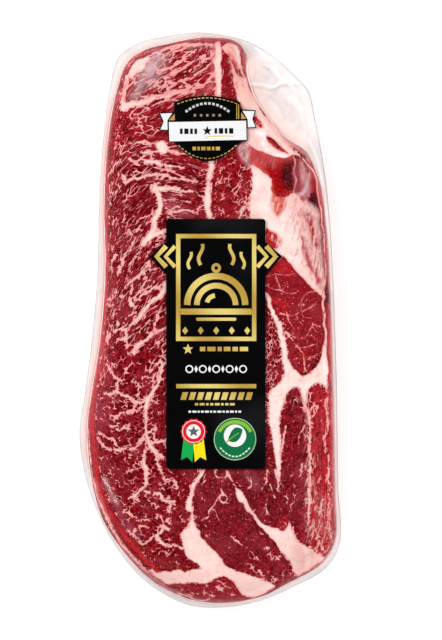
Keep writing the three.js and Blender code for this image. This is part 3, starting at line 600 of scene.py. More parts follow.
FAT_PATCHES = [
    ("vein_fat", 8, [(98, 120), (200, 60), (212, 160), (200, 220), (170, 330), (170, 500), (186, 540),
                     (150, 556), (110, 500), (92, 440), (100, 330)]),
    ("rosy_fat", 5, [(118, 98), (152, 94), (152, 110), (120, 112)]),
    ("rosy_fat", 3, [(126, 82), (127, 66), (140, 56), (150, 53), (150, 60), (140, 66), (134, 80)]),
    ("pink_fat", 3, [(120, 80), (128, 78), (126, 104), (120, 112)]),
    ("pink_fat", 4, [(150, 60), (214, 44), (214, 82), (186, 96), (156, 92)]),
    ("salmon_fat", 4, ["line", 6, (150, 54), (165, 48), (180, 44.5), (195, 43), (214, 43.6)]),
    ("salmon_fat", 4, ["line", 4, (184, 92), (203, 85), (213, 76)]),
    ("salmon_fat", 3, [(212, 42), (240, 42), (240, 50), (212, 52)]),
    ("pink_fat", 2.4, ["line", 9, (217.8, 50), (217.8, 100)]),
    ("cream", 1.6, ["line", 3, (219.6, 58), (219.8, 100)]),
    ("salmon_fat", 3, [(222, 48), (236, 50), (243, 76), (250, 92), (243, 104), (234, 92), (229, 58)]),
    ("band_fat", 4, [(240, 84), (250, 90), (264, 114), (262, 126), (246, 110), (238, 98)]),
    ("cream", 4, ["line", 6, (256, 108), (268, 124), (282, 139), (298, 153)]),
    ("salmon_fat", 1.2, ["line", 1.4, (250, 92), (258, 104), (266, 118), (278, 131), (290, 146)]),
    ("salmon_fat", 1.2, ["line", 1.2, (256, 108), (268, 124), (282, 140), (292, 150)]),
    ("tissue", 1.2, ["line", 2.4, (228, 53), (233, 60), (238, 68)]),
    ("cream", 1.2, ["line", 3.0, (234.6, 46), (237.0, 54), (239, 64), (242, 74)]),
    ("rosy_fat", 4, [(244, 128), (262, 128), (268, 146), (254, 150), (246, 146)]),
    # Painted highlight: the film's glint on the middle of the pale knob of fat.
    ("white", 2.4, ["line", 6, (258, 132), (264, 136), (264, 142)]),
    ("white", 1.4, ["line", 2.6, (265, 148), (274, 154), (288, 157.5)]),
    ("plate_white", 1.4, ["line", 3, (294.2, 158), (295, 176), (294, 190)]),
    ("pale_fat", 5, [(252, 175), (268, 182), (280, 200), (300, 202), (300, 262), (284, 256), (262, 222)]),
    ("tissue", 2.4, [(272, 194), (284, 194), (285, 206), (279, 217), (273, 212)]),
    ("tissue", 1.8, [(268.5, 233), (273, 232), (280, 239), (277, 248), (270, 246)]),
    ("tissue", 2, [(236, 209), (246, 207), (249.5, 218), (238, 219)]),
    ("pink_fat", 5, [(290, 192), (302, 200), (301, 214), (288, 210)]),
    ("striped_fat", 5, [(298, 202), (316, 209), (321, 230), (323, 262), (323, 296), (312, 280),
                        (302, 258)]),
    ("thread_pink", 2, [(262, 264), (284, 260), (304, 280), (320, 298), (322, 340), (318, 360), (305, 372),
                        (292, 362), (286, 338), (276, 312)]),
    ("low_fat", 9, [(290, 536), (324, 554), (318, 568), (300, 580), (288, 566)]),
    ("low_pink", 7, ["line", 7, (297, 550), (302, 561), (299, 573)]),
    ("low_pink", 6, ["line", 5, (312, 554), (318, 560), (312, 568)]),
    ("thread_pink", 0.9, ["line", 0.9, (296, 540), (303, 553), (304, 566), (300, 576)]),
    ("thread_pink", 0.9, ["line", 0.8, (304, 556), (312, 553), (322, 556)]),
    ("thread_pink", 0.9, ["line", 0.8, (308, 546), (313, 558), (311, 570)]),
    ("thread_pink", 0.9, ["line", 0.7, (290, 556), (296, 562), (304, 562)]),
    ("rosy_fat", 6, [(226, 570), (248, 578), (275, 588), (250, 600), (238, 592)]),
    ("rosy_fat", 4, ["line", 10, (150, 572), (180, 578), (206, 574)]),
    ("pale_fat", 4, [(266, 296), (290, 330), (302, 370), (327, 352), (327, 386), (300, 396), (284, 420),
                     (278, 490), (268, 410), (276, 360)]),
    ("pale_fat", 4, [(104, 180), (109, 300), (95, 440), (85, 440), (95, 300), (96, 180)]),
]
# Where the lean has no network of marbling: share left, soft border, outline.
PLAIN_PATCHES = [
    (0.0, 3, [(248, 120), (268, 132), (296, 152), (312, 164), (324, 200), (330, 306), (318, 296),
              (302, 280), (290, 264), (272, 262), (262, 240), (250, 218), (250, 200), (256, 172),
              (246, 160)]),
    (0.0, 4, [(232, 44), (246, 48), (252, 84), (264, 120), (250, 112), (240, 84)]),
    (0.2, 2, [(222, 52), (228, 56), (232, 78), (235, 100), (222, 104), (222, 70)]),
    (0.4, 1.5, ["line", 4, (106, 128), (105.6, 150), (105, 205), (105.6, 250), (105, 290), (102, 330),
                (97.6, 362), (93.4, 391), (91, 414)]),
    (0.1, 1.5, ["line", 6, (91, 414), (91, 430), (93, 448), (96, 466), (98.6, 484), (103.6, 500),
                (110.6, 514), (119.6, 528), (129.6, 542), (141.6, 556), (151.6, 566), (161.6, 574)]),
    (0.0, 1.5, ["line", 6, (310, 156), (318, 184), (322, 203), (327.5, 252), (329, 290), (329.5, 330),
                (331, 380)]),
    (0.1, 1.5, ["line", 3, (128, 68), (142, 57), (165, 47), (203, 41), (236, 46)]),
]
# Fuzzy tissue of mixed red and cream: strength, soft border, outline.
FUZZ_PATCHES = [
    (0.8, 4, [(299, 206), (314, 211), (319, 236), (322, 262), (322, 292), (310, 274), (301, 258),
              (299, 230)]),
    (1.0, 2, ["line", 6, (308, 218), (312, 230), (316, 243)]),
    (0.9, 2.4, [(271, 199), (284, 198), (286, 206), (279, 216), (272, 212)]),
    (0.6, 2, [(296, 197), (304, 195), (309, 192), (307, 202), (304, 206), (299, 203)]),
    (0.45, 4, [(284, 194), (300, 198), (300, 214), (286, 212)]),
    (1.0, 1.8, [(268, 232), (273, 231), (281, 239), (277, 249), (270, 247)]),
    (0.9, 2.4, [(236, 208), (247, 206), (250, 218), (238, 220)]),
    (0.5, 4, [(292, 198), (304, 204), (304, 262), (296, 262), (291, 240)]),
    (0.12, 3, [(250, 148), (280, 158), (282, 168), (268, 168), (252, 160)]),
    (0.45, 2, [(241, 146), (248, 142), (251, 150), (251, 162), (256, 170), (248, 166), (243, 158)]),
    (0.25, 2, [(301, 162), (309, 168), (309, 184), (302, 184)]),
    (0.5, 3, [(224, 46), (234, 48), (246, 84), (236, 90), (228, 64)]),
    (0.7, 4, ["line", 8, (309.5, 440), (309.5, 500), (312, 540)]),
    (0.6, 5, [(306, 490), (326, 496), (328, 545), (316, 545), (306, 520)]),
    (0.5, 4, ["line", 6, (304, 400), (309, 440)]),
]
# How the marbling runs: place, direction in degrees rising to the right, stretch, amount of marbling, its
# cell size in millimetres.
GRAIN = [
    (125, 70, 60, 2.4, 0.7, 3.2), (150, 72, 50, 3.0, 0.85, 3.0), (150, 90, 38, 3.0, 0.78, 3.2),
    (190, 60, 36, 3.0, 0.75, 3.2), (170, 80, 32, 3.0, 0.75, 3.2), (205, 75, 38, 2.6, 0.65, 3.2),
    (230, 60, 85, 2.0, 0.15, 2.4), (115, 120, 75, 2.0, 0.5, 2.8), (145, 125, 20, 2.0, 0.65, 2.8),
    (108, 170, 72, 2.6, 0.48, 2.2), (122, 180, 58, 2.8, 0.55, 2.2), (140, 165, 25, 2.6, 0.58, 2.4),
    (185, 165, -8, 3.2, 0.4, 2.4), (190, 190, -6, 3.2, 0.4, 2.4), (180, 210, -8, 2.8, 0.4, 2.4),
    (106, 230, 75, 2.6, 0.46, 2.0), (122, 215, 58, 3.0, 0.56, 2.2), (140, 215, 54, 3.0, 0.54, 2.2),
    (110, 280, 72, 2.6, 0.58, 2.0), (130, 275, 58, 3.0, 0.58, 2.2), (152, 270, 54, 2.8, 0.54, 2.2),
    (106, 335, 75, 2.2, 0.62, 2.2), (128, 310, 60, 2.8, 0.64, 2.2), (155, 315, 52, 2.8, 0.58, 2.2),
    (103, 370, 80, 1.6, 0.52, 2.4), (125, 375, 70, 1.6, 0.64, 2.4), (150, 360, 55, 2.0, 0.6, 2.4),
    (98, 420, -40, 1.3, 0.35, 2.4), (112, 420, -30, 1.3, 0.55, 2.6), (130, 430, 15, 1.3, 0.58, 2.6),
    (155, 420, 60, 1.3, 0.57, 2.6), (110, 470, -50, 1.3, 0.5, 2.6), (135, 480, 15, 1.3, 0.57, 2.4),
    (170, 490, -30, 1.3, 0.54, 2.6), (125, 510, -45, 1.3, 0.51, 2.4), (160, 530, -10, 1.3, 0.44, 2.6),
    (190, 550, -25, 1.3, 0.3, 2.6), (192, 470, 75, 1.6, 0.45, 2.8), (180, 510, 30, 1.3, 0.55, 2.8),
    (210, 595, 0, 1.6, 0.3, 2.4), (230, 190, 60, 1.8, 0.5, 2.2), (246, 190, 70, 1.6, 0.64, 1.6),
    (215, 500, 40, 1.3, 0.15, 2.8), (235, 540, -40, 1.3, 0.2, 2.6), (265, 570, -45, 1.3, 0.4, 2.4),
    (258, 490, -50, 1.6, 0.25, 2.6), (275, 510, -60, 1.6, 0.25, 2.6), (292, 420, 88, 1.8, 0.28, 2.4),
    (292, 500, 85, 1.8, 0.35, 2.4), (318, 410, 88, 2.0, 0.5, 2.4), (320, 480, 85, 2.0, 0.47, 2.4),
    (318, 530, 70, 1.6, 0.5, 2.2), (290, 285, 40, 1.6, 0.1, 2.6), (305, 320, 70, 1.4, 0.16, 2.4),
    (300, 350, 60, 1.3, 0.24, 2.2), (272, 350, 85, 1.6, 0.78, 1.6), (272, 400, 85, 1.6, 0.78, 1.6),
    (310, 235, 60, 1.8, 0.1, 2.4),
]


# Fields of the cut face

# A star's arms: their shares of its reach, the turn of every second one, and how wide they are at both ends.
STAR_ARMS = (1.0, 0.75, 0.9, 0.6)
STAR_SKEW = 14
STAR_ROOT, STAR_TIP = 0.55, 0.6


def star_veins(middle, reach, turn):
    """Four short arms of fat that taper from a common middle, uneven in length and direction."""
    arms = []
    for k, share in enumerate(STAR_ARMS):
        angle = math.radians(turn + 90 * k + STAR_SKEW * (k % 2))
        tip = (middle[0] + reach * share * math.cos(angle), middle[1] - reach * share * math.sin(angle))
        arms.append((STAR_ROOT * reach, STAR_TIP, [middle, tip]))
    return arms


ALL_VEINS = VEINS + [arm for star in STARS for arm in star_veins(*star)]
# Veins are drawn at this share of their widths, because their borders are soft.
VEIN_SHARE = 0.78
# The field of fat isn't followed farther than this from its borders.
FAR_OUT = 6
# How borders of fat are made ragged: noise, cell, shift. The two directions read the noise far apart.
RAGGED, RAGGED_FINE = Noise(11), Noise(12)
RAGGED_STEPS = [(RAGGED, 9, 1.1), (RAGGED_FINE, 3.2, 0.45)]
FAR_APART = 400


def ragged(points):
    """Places shifted a little, so that no border of fat is smooth."""
    coarse, fine = (np.column_stack([noise(points, cell), noise(points + FAR_APART, cell)]) * shift
                    for noise, cell, shift in RAGGED_STEPS)
    return points + coarse + fine


def near_box(points, outline, margin):
    low = np.min(outline, 0) - margin
    high = np.max(outline, 0) + margin
    return np.flatnonzero(((points > low) & (points < high)).all(1))


def fat_field(points):
    """Distance to the nearest border of authored fat, positive in fat, down to -FAR_OUT."""
    spots = ragged(points)
    field = np.full(len(spots), -float(FAR_OUT))
    for outline in FAT_AREAS.values():
        loop = spline(outline, 3, True)
        close = near_box(spots, loop, FAR_OUT)
        field[close] = np.maximum(field[close], loop_depth(spots[close], loop))
    for first, last, line in ALL_VEINS:
        curve = spline(line, 3, False) if len(line) > 2 else np.asarray(line, float)
        close = near_box(spots, curve, FAR_OUT)
        widths = np.linspace(first, last, len(curve)) / 2
        for k in range(len(curve) - 1):
            distance, share = segment_distance(spots[close], curve[k], curve[k + 1])
            half = lerp(widths[k], widths[k + 1], share) * VEIN_SHARE
            field[close] = np.maximum(field[close], half - distance)
    for outline in LEAN_ISLANDS.values():
        loop = spline(outline, 3, True)
        close = near_box(spots, loop, FAR_OUT)
        field[close] = np.minimum(field[close], -loop_depth(spots[close], loop))
    return field


def srgb(colour):
    share = np.asarray(colour, float) / 255
    return np.where(share <= 0.04045, share / 12.92, ((share + 0.055) / 1.055) ** 2.4)


def paint(colour, gain=LIGHT_GAIN):
    """Surface colour that looks like the given picture colour under the studio light."""
    return srgb(colour) / gain


def laid_over(points, base, patches):
    """Values of a base with soft-edged patches laid over it in order. A patch is a value, the width of its
    border and its outline."""
    values = np.tile(np.atleast_1d(base).astype(float), (len(points), 1))
    spots = ragged(points)
    for value, soft, outline in patches:
        if outline[0] == "line":
            curve = spline(outline[2:], 4, False) if len(outline) > 4 else np.array(outline[2:], float)
            close = near_box(spots, curve, outline[1] + 2 * soft)
            field = outline[1] / 2 - line_distance(spots[close], curve)
        else:
            loop = spline(outline, 3, True)
            close = near_box(spots, loop, 2 * soft)
            field = loop_depth(spots[close], loop)
        cover = smoothstep(field, -soft, soft)[:, None]
        values[close] = lerp(values[close], value, cover)
    return values


def painted(points, base, patches):
    colours = [(srgb(PAINTS[name]), soft, outline) for name, soft, outline in patches]
    return laid_over(points, srgb(PAINTS[base]), colours) / LIGHT_GAIN


def marbled_amount(points):
    share = laid_over(points, 1.0, PLAIN_PATCHES)[:, 0]
    return GRAIN_MAP.at(GRAIN_MAP.amount, points) * share


class GrainMap:
    """Directions, stretch, amounts and cell sizes of the marbling on a coarse grid, blended between the
    places of GRAIN, where near ones count most and places across the pack count more than along it."""

    STEP = 4.0
    LOW = np.array([66.0, 20.0])
    SIZE = (73, 152)
    LENGTHWISE = 0.8
    SOFTNESS = 4

    def __init__(self):
        x = self.LOW[0] + self.STEP * np.arange(self.SIZE[0])
        y = self.LOW[1] + self.STEP * np.arange(self.SIZE[1])
        grid = np.stack(np.meshgrid(x, y, indexing="ij"), -1)
        facts = np.array(GRAIN, float)
        away = np.linalg.norm((grid[:, :, None] - facts[:, :2]) * [1.0, self.LENGTHWISE], axis=-1)
        weight = 1 / (away + self.SOFTNESS) ** 4
        weight /= weight.sum(-1, keepdims=True)
        angle = np.radians(facts[:, 2])
        self.cos = (weight * np.cos(angle)).sum(-1)
        self.sin = (weight * np.sin(angle)).sum(-1)
        length = np.hypot(self.cos, self.sin)
        self.cos, self.sin = self.cos / length, self.sin / length
        self.turn = np.arctan2(self.sin, self.cos)
        self.stretch, self.amount, self.cell = ((weight * facts[:, k]).sum(-1) for k in (3, 4, 5))

    def at(self, table, points):
        place = np.clip((points - self.LOW) / self.STEP, 0, np.array(self.SIZE) - 1.001)
        corner = place.astype(int)
        part = place - corner
        i, j = corner[:, 0], corner[:, 1]
        left = lerp(table[i, j], table[i, j + 1], part[:, 1])
        right = lerp(table[i + 1, j], table[i + 1, j + 1], part[:, 1])
        return lerp(left, right, part[:, 0])


GRAIN_MAP = GrainMap()


# Meshes

def new_mesh(name, points, faces, smooth=True):
    """A mesh object from points in metres and faces, with outward normals."""
    mesh = bpy.data.meshes.new(name)
    mesh.from_pydata(np.asarray(points).tolist(), [], [list(face) for face in faces])
    mesh.validate()
    mesh.update()
    if smooth:
        mesh.shade_smooth()
    else:
        mesh.shade_flat()
    piece = bpy.data.objects.new(name, mesh)
    bpy.context.scene.collection.objects.link(piece)
    return piece


def add_values(piece, name, values):
    """A number or colour for each point of the mesh, for its material to read."""
    values = np.asarray(values, np.float32)
    if values.ndim == 1:
        layer = piece.data.attributes.new(name, "FLOAT", "POINT")
        layer.data.foreach_set("value", values)
    else:
        layer = piece.data.attributes.new(name, "FLOAT_COLOR", "POINT")
        opaque = np.ones(len(values), np.float32)
        layer.data.foreach_set("color", np.column_stack([values, opaque]).ravel())


def resampled(loop, step):
    """Points at equal steps along a closed loop."""
    closed = np.vstack([loop, loop[:1]])
    lengths = np.concatenate([[0], np.cumsum(np.linalg.norm(np.diff(closed, axis=0), axis=1))])
    count = max(8, int(round(lengths[-1] / step)))
    marks = np.arange(count) * lengths[-1] / count
    return np.column_stack([np.interp(marks, lengths, closed[:, k]) for k in (0, 1)])


def inset_loop(loop, distance):
    """A closed anticlockwise-on-screen loop moved inwards by a distance in picture units."""
    along = np.roll(loop, -1, 0) - np.roll(loop, 1, 0)
    normal = np.column_stack([along[:, 1], -along[:, 0]])
    normal /= np.linalg.norm(normal, axis=1)[:, None]
    sign = 1 if inside(loop[:1] + normal[:1] * 0.5, loop)[0] else -1
    return loop + sign * np.reshape(distance, (-1, 1)) * normal


HEX_ROW = 0.866


def hex_points(low, high, spacing, keep_every=1):
    """A triangular lattice; keep_every thins it to a lattice whose points are a subset of the full one."""
    rows = int((high[1] - low[1]) / (spacing * HEX_ROW)) + 1
    columns = int((high[0] - low[0]) / spacing) + rows // 2 + 2
    j, i = np.meshgrid(np.arange(rows), np.arange(-(rows // 2) - 1, columns), indexing="ij")
    keep = (i % keep_every == 0) & (j % keep_every == 0)
    x = low[0] + (i[keep] + j[keep] / 2) * spacing
    y = low[1] + j[keep] * spacing * HEX_ROW
    points = np.column_stack([x, y])
    return points[(points[:, 0] < high[0]) & (points[:, 0] > low[0])]


def triangulate(loop, points):
    """Triangles over a loop and the points inside it. Returns the places, loop first, and the triangles."""
    places = [Vector(p) for p in np.vstack([loop, points]).tolist()]
    edges = [(k, (k + 1) % len(loop)) for k in range(len(loop))]
    out, _, faces, origins, _, _ = delaunay_2d_cdt(places, edges, [], 1, 1e-6)
    if len(out) != len(places):
        raise ValueError("the triangulation merged or split points")
    order = np.array([source[0] for source in origins])
    return np.vstack([loop, points]), order[np.array(faces)]


def facing(places, triangles, upwards):
    """Triangles turned so that, with picture y down, their normals point up or down."""
    a, b, c = (places[triangles[:, k]] for k in range(3))
    area = (b[:, 0] - a[:, 0]) * (c[:, 1] - a[:, 1]) - (c[:, 0] - a[:, 0]) * (b[:, 1] - a[:, 1])
    flip = (area > 0) if upwards else (area < 0)
    turned = triangles.copy()
    turned[flip] = turned[flip][:, ::-1]
    return turned


def ring_faces(first, second, count):
    """Quads between two rings of equal count, given the index where each starts."""
    here = np.arange(count)
    beside = (here + 1) % count
    return np.column_stack([first + here, first + beside, second + beside, second + here])


def stitch_faces(first, second, count, ratio):
    """Faces between a ring and one with ratio times fewer points."""
    coarse = count // ratio
    faces = []
    for k in range(coarse):
        fine = [first + (k * ratio + m) % count for m in range(ratio + 1)]
        middle = ratio // 2
        faces += [(fine[m], fine[m + 1], second + k) for m in range(middle)]
        faces += [(fine[m], fine[m + 1], second + (k + 1) % coarse) for m in range(middle, ratio)]
        faces.append((fine[middle], second + (k + 1) % coarse, second + k))
    return faces


# Rings of points that follow the meat's edge on the cut face, and the closest that they may come to it.
EDGE_INSETS = (0.5, 1.1, 1.9, 2.9, 4.1, 5.6, 7.4, 9.4)
LEAST_INSET = 0.3
# How far the lattice of the underside stays inside the last ring.
UNDER_INSET = 1.2


def face_points(loop, fine, coarse_every, needs_fine):
    """Places on the cut face: rings along the edge, then a lattice that is fine where needs_fine says so."""
    rings = np.vstack([inset_loop(loop, inset) for inset in EDGE_INSETS])
    low, high = loop.min(0), loop.max(0)
    dense, sparse = (hex_points(low, high, fine, every) for every in (1, coarse_every))
    dense, sparse = (part[loop_depth(part, loop) > EDGE_INSETS[-1] + 1] for part in (dense, sparse))
    dense = dense[needs_fine(dense)]
    lattice = np.unique(np.round(np.vstack([dense, sparse]), 5), axis=0)
    rings = rings[loop_depth(rings, loop) > LEAST_INSET]
    return np.vstack([rings, lattice])


def closed_skin(name, loop, top_places, top_height, rings, bottom_places, bottom_height, ratio):
    """A closed skin: a triangulated top, rings of points down the side, and a triangulated underside. Each
    ring is its places and heights; the last one is thinned by a ratio for a plainer underside. Returns the
    piece, the places of its points, and where the top's points end and the underside's begin."""
    count = len(loop)
    places, top_faces = triangulate(loop, top_places)
    points = [solid_points(places, top_height(places))]
    flat = [places]
    faces = [tuple(face) for face in facing(places, top_faces, True)]
    start, previous = len(places), 0
    for ring_places, ring_heights in rings:
        points.append(solid_points(ring_places, ring_heights))
        flat.append(ring_places)
        faces += [tuple(face) for face in ring_faces(previous, start, count)]
        previous, start = start, start + count
    low_loop = inset_loop(rings[-1][0], UNDER_INSET)[::ratio]
    low, low_faces = triangulate(low_loop, bottom_places)
    points.append(solid_points(low, bottom_height(low)))
    flat.append(low)
    faces += stitch_faces(previous, start, count, ratio)
    faces += [tuple(face) for face in facing(low, low_faces, False) + start]
    piece = new_mesh(name, np.vstack(points), faces)
    return piece, np.vstack(flat), (len(places), start)


# The slab of meat

SLAB_INSET = 0.8
SLAB_LOW_Z = 0.35
SLAB_STEP = 1.9
SLAB_STITCH = 4
FACE_STEP = 0.92
VEIN_BAND = 1.2
UNDER_STEP = 5.0
# The rounded lower edge: its rise at the meat's edge, how far in it reaches and what is cut off to lie flat.
LOW_RISE, LOW_REACH, LOW_CUT = 11.3, 1.9, 0.3
# The side wall: share of the way down and bulge of each ring, where the wall ends and how much it waves.
WALL_RINGS = ((0.3, 0.5), (0.6, 0.6), (0.85, 0.4))
WALL_LOW_Z = 11.0
WALL_WAVE, WALL_WAVE_CELL, WALL_WAVE_APART = 0.25, 14, 40
LOW_INSETS = (0.3, 1.0, 2.0, 3.4, 5.2, 8.0, 12.0)
# Depths between which the side's look turns into the face's, and the field of fat on the side.
SIDE_FADE = (0.6, 2.0)
SIDE_FIELD = -3


def slab_height(places):
    return skin_height(places, loop_depth(places, MEAT_LOOP)) - FILM_GAP


def low_height(places):
    depth = np.maximum(loop_depth(places, MEAT_LOOP), 0) * MM_PER_UNIT
    return SLAB_LOW_Z + np.maximum(LOW_RISE * np.exp(-depth / LOW_REACH) - LOW_CUT, 0)


def slab_side_rings(loop):
    """Rings from the upper edge down to the rounded lower edge, bulging a little between."""
    top = slab_height(loop)
    rings = []
    for share, bulge in WALL_RINGS:
        wave = WALL_WAVE * RAGGED(loop + WALL_WAVE_APART * share, WALL_WAVE_CELL)
        rings.append((inset_loop(loop, -bulge + wave), lerp(top, WALL_LOW_Z, share)))
    for inset in LOW_INSETS:
        places = inset_loop(loop, inset)
        rings.append((places, low_height(places)))
    return rings


def under_points(last_ring, margin, step):
    """A lattice for the underside, inside the last ring by a margin."""
    area = inset_loop(last_ring, margin)
    lattice = hex_points(area.min(0), area.max(0), step)
    return lattice[inside(lattice, area)]


def beef_slab():
    count = int(round(len(resampled(MEAT_LOOP, SLAB_STEP)) / SLAB_STITCH)) * SLAB_STITCH
    loop = inset_loop(resampled(MEAT_LOOP, SLAB_STEP), SLAB_INSET)
    loop = loop[:count] if count <= len(loop) else loop[: count - SLAB_STITCH]
    near_fat = lambda places: np.abs(fat_field(places)) < VEIN_BAND
    tops = face_points(loop, FACE_STEP, 2, near_fat)
    rings = slab_side_rings(loop)
    lows = under_points(rings[-1][0], 3, UNDER_STEP)
    piece, places, (tops_end, lows_start) = closed_skin(
        "beef_slab", loop, tops, slab_height, rings, lows, low_height, SLAB_STITCH)
    depth = loop_depth(places, MEAT_LOOP)
    under = np.zeros(len(places))
    under[lows_start:] = 1
    side = np.zeros(len(places))
    side[tops_end:lows_start] = 1
    side[:tops_end] = 1 - smoothstep(depth[:tops_end], *SIDE_FADE)
    field = fat_field(places)
    field[tops_end:] = np.minimum(field[tops_end:], SIDE_FIELD)
    add_values(piece, "fat", field * MM_PER_UNIT)
    add_values(piece, "side", side)
    add_values(piece, "under", under)
    for name in ("turn", "stretch", "cell"):
        add_values(piece, name, GRAIN_MAP.at(getattr(GRAIN_MAP, name), places))
    add_values(piece, "marbled", marbled_amount(places))
    add_values(piece, "fuzz", laid_over(places, 0.0, FUZZ_PATCHES)[:, 0])
    add_values(piece, "lean_paint", painted(places, "left_lean", LEAN_PATCHES))
    add_values(piece, "fat_paint", painted(places, "cream", FAT_PATCHES))
    return piece


# The film

FILM_STEP = 2.2
FILM_FACE_STEP = 2.6
FILM_UNDER_STEP = 9.0
FILM_LOW_INSETS = (0.4, 1.6, 3.6, 7.0, 12.0)
FILM_LOW_Z = 0.02
# Shares of the way out from the slab's wall to the film's edge.
RIM_SHARES = (0.03, 0.07, 0.12, 0.17, *(round(0.23 + 0.06 * k, 2) for k in range(13)), 1.0)
# The rim droops from the wall by a depth and by a share of its width, and thins from its root to its edge.
RIM_DROOP, RIM_DROOP_SHARE = 1.2, 0.17
RIM_THICK, RIM_THIN = 0.45, 0.12
# How far the film reaches up the wall above the rim and how far it is drawn in below it.
RIM_WALL_GAP, RIM_UNDERCUT = 0.3, 2.6
# Widths in millimetres between which the rim turns into an empty corner, in its form and in its look.
EMPTY_FORM_WIDTH = (5, 14)
EMPTY_LOOK_WIDTH = (5, 12)
# Crumpling of the rim: height and cell of its steps, and its share in the rim and in the empty corner.
CRUMPLE_STEPS = ((0.5, 9), (0.22, 4))
CRUMPLE_SHARES = (0.35, 1.6)
# Creases whitened partly by the film itself and partly by painted highlight, grey creases of painted shade
# beside the folds, and painted glare of the film: strength, half width, line.
WHITE_AND_LIT_CREASES = [
    (0.9, 1.3, [(249, 83), (258, 83.5), (265, 84), (273, 86), (281, 81.6), (290, 81), (300, 81.6)]),
    (0.7, 1.2, [(265, 63), (273, 67), (280, 76)]), (0.5, 1.2, [(280, 76), (290, 83), (296, 92)]),
    (0.8, 1.6, [(256, 47), (260, 50), (263, 55)]), (0.6, 1.2, [(290, 96.5), (297, 102), (304, 108)]),
    (0.4, 1.2, [(258, 100), (268, 112), (282, 126)]), (0.5, 1.0, [(303, 90), (309, 112), (314, 134)]),
    (0.6, 1.4, [(310, 140), (318, 160), (323, 185)]), (0.4, 1.4, [(324, 200), (330, 240), (332, 290)]),
]
# Painted shade beside the folds of the film.
PAINTED_FOLD_SHADE = [
    (0.5, 1.6, [(249, 86), (262, 87), (273, 89.5), (282, 85), (298, 85)]),
    (0.4, 1.8, [(262, 65), (270, 70), (277, 79)]), (0.35, 2.4, [(284, 100), (296, 110), (303, 128)]),
    (0.3, 2.4, [(262, 92), (276, 100), (286, 118)]), (0.35, 1.6, [(300, 96), (305, 116), (309, 136)]),
]
# Painted glare: reflections on the film over the meat, laid on as milk.
PAINTED_GLARE = [
    (0.56, 7.0, [(157, 58), (151, 68), (145, 78)]), (0.38, 5, [(145, 78), (139, 88), (135, 96)]),
    (0.3, 4, [(164, 66), (158, 76), (152, 86)]), (0.4, 2.4, [(156, 60), (149, 72), (140, 86)]),
    (0.26, 2.6, [(169, 54), (162, 63)]), (0.2, 2.4, [(186, 48), (206, 45), (214, 45)]),
    (0.4, 2, [(104, 478), (110, 492), (117, 503)]),
]
CREASES = Noise(21)
CRUMPLE = Noise(22)
CREASE_HEIGHT, CREASE_CELL = 0.12, 7
# Sides of the pack where the film looks different, from nothing at the first x and y to full at the second.
FILM_SIDES = {
    "right": ((300, 324), (190, 230)), "corner_foot": ((304, 316), (120, 145)),
    "left": ((126, 108), (480, 450)), "right_edge": ((226, 250), (540, 500)),
}


def film_side(places, name):
    x_span, y_span = FILM_SIDES[name]
    return smoothstep(places[:, 0], *x_span) * smoothstep(places[:, 1], *y_span)


def film_height(places):
    depth = loop_depth(places, MEAT_LOOP)
    shoulder = smoothstep(depth, 0, 6) * (1 - smoothstep(depth, 10, 30))
    return skin_height(places, depth) + CREASE_HEIGHT * shoulder * CREASES(places, CREASE_CELL)


def film_rings(count):
    """Rings over the film's rim, from the slab's wall out to the film's edge and back below it."""
    marks = np.arange(count) / count * len(STATIONS) * SPLINE_STEPS
    meat, film = (np.column_stack([np.interp(marks, np.arange(len(loop) + 1), np.append(column, column[0]))
                                   for column in loop.T]) for loop in (MEAT_LOOP, FILM_LOOP))
    width = np.linalg.norm(film - meat, axis=1) * MM_PER_UNIT
    empty = smoothstep(width, *EMPTY_FORM_WIDTH)
    wall = skin_height(meat, np.zeros(count)) - RIM_WALL_GAP
    rings = []
    for side, steps in ((1, RIM_SHARES), (-1, RIM_SHARES[::-1])):
        for part in steps:
            places = lerp(meat, film, part)
            droop = part * (RIM_DROOP + RIM_DROOP_SHARE * width)
            thick = lerp(RIM_THICK, RIM_THIN, part)
            bend = (1 - part) ** 3
            fillet = (wall - FILM_RIM_Z) * bend if side > 0 else -RIM_UNDERCUT * bend
            bulge = 4 * part * (1 - part)
            fold = empty * bulge * fold_height(places)
            waves = sum(height * CRUMPLE(places, cell) for height, cell in CRUMPLE_STEPS)
            crumple = bulge * waves * lerp(*CRUMPLE_SHARES, empty)
            rings.append((places, FILM_RIM_Z - droop + side * thick + fillet + fold + crumple))
    return meat, rings


def crease_field(places, creases):
    """The strongest crease at each place, fading out to both sides of its line."""
    field = np.zeros(len(places))
    for strength, half, line in creases:
        close = near_box(places, line, 3 * half)
        near = np.exp(-(line_distance(places[close], spline(line, 4, False)) / half) ** 2)
        field[close] = np.maximum(field[close], strength * near)
    return field


def film_bag():
    count = int(round(len(resampled(FILM_LOOP, FILM_STEP)) / 2)) * 2
    loop, rings = film_rings(count)
    tops = face_points(loop, FILM_FACE_STEP, 1, lambda places: np.ones(len(places), bool))
    for inset in FILM_LOW_INSETS:
        places = inset_loop(loop, inset)
        rings.append((places, np.maximum(low_height(places) - SLAB_LOW_Z, FILM_LOW_Z)))
    lows = under_points(rings[-1][0], 4, FILM_UNDER_STEP)
    flat_under = lambda places: np.full(len(places), FILM_LOW_Z)
    piece, places, _ = closed_skin("film_bag", loop, tops, film_height, rings, lows, flat_under, 2)
    for name, values in film_looks(places).items():
        add_values(piece, name, values)
    return piece


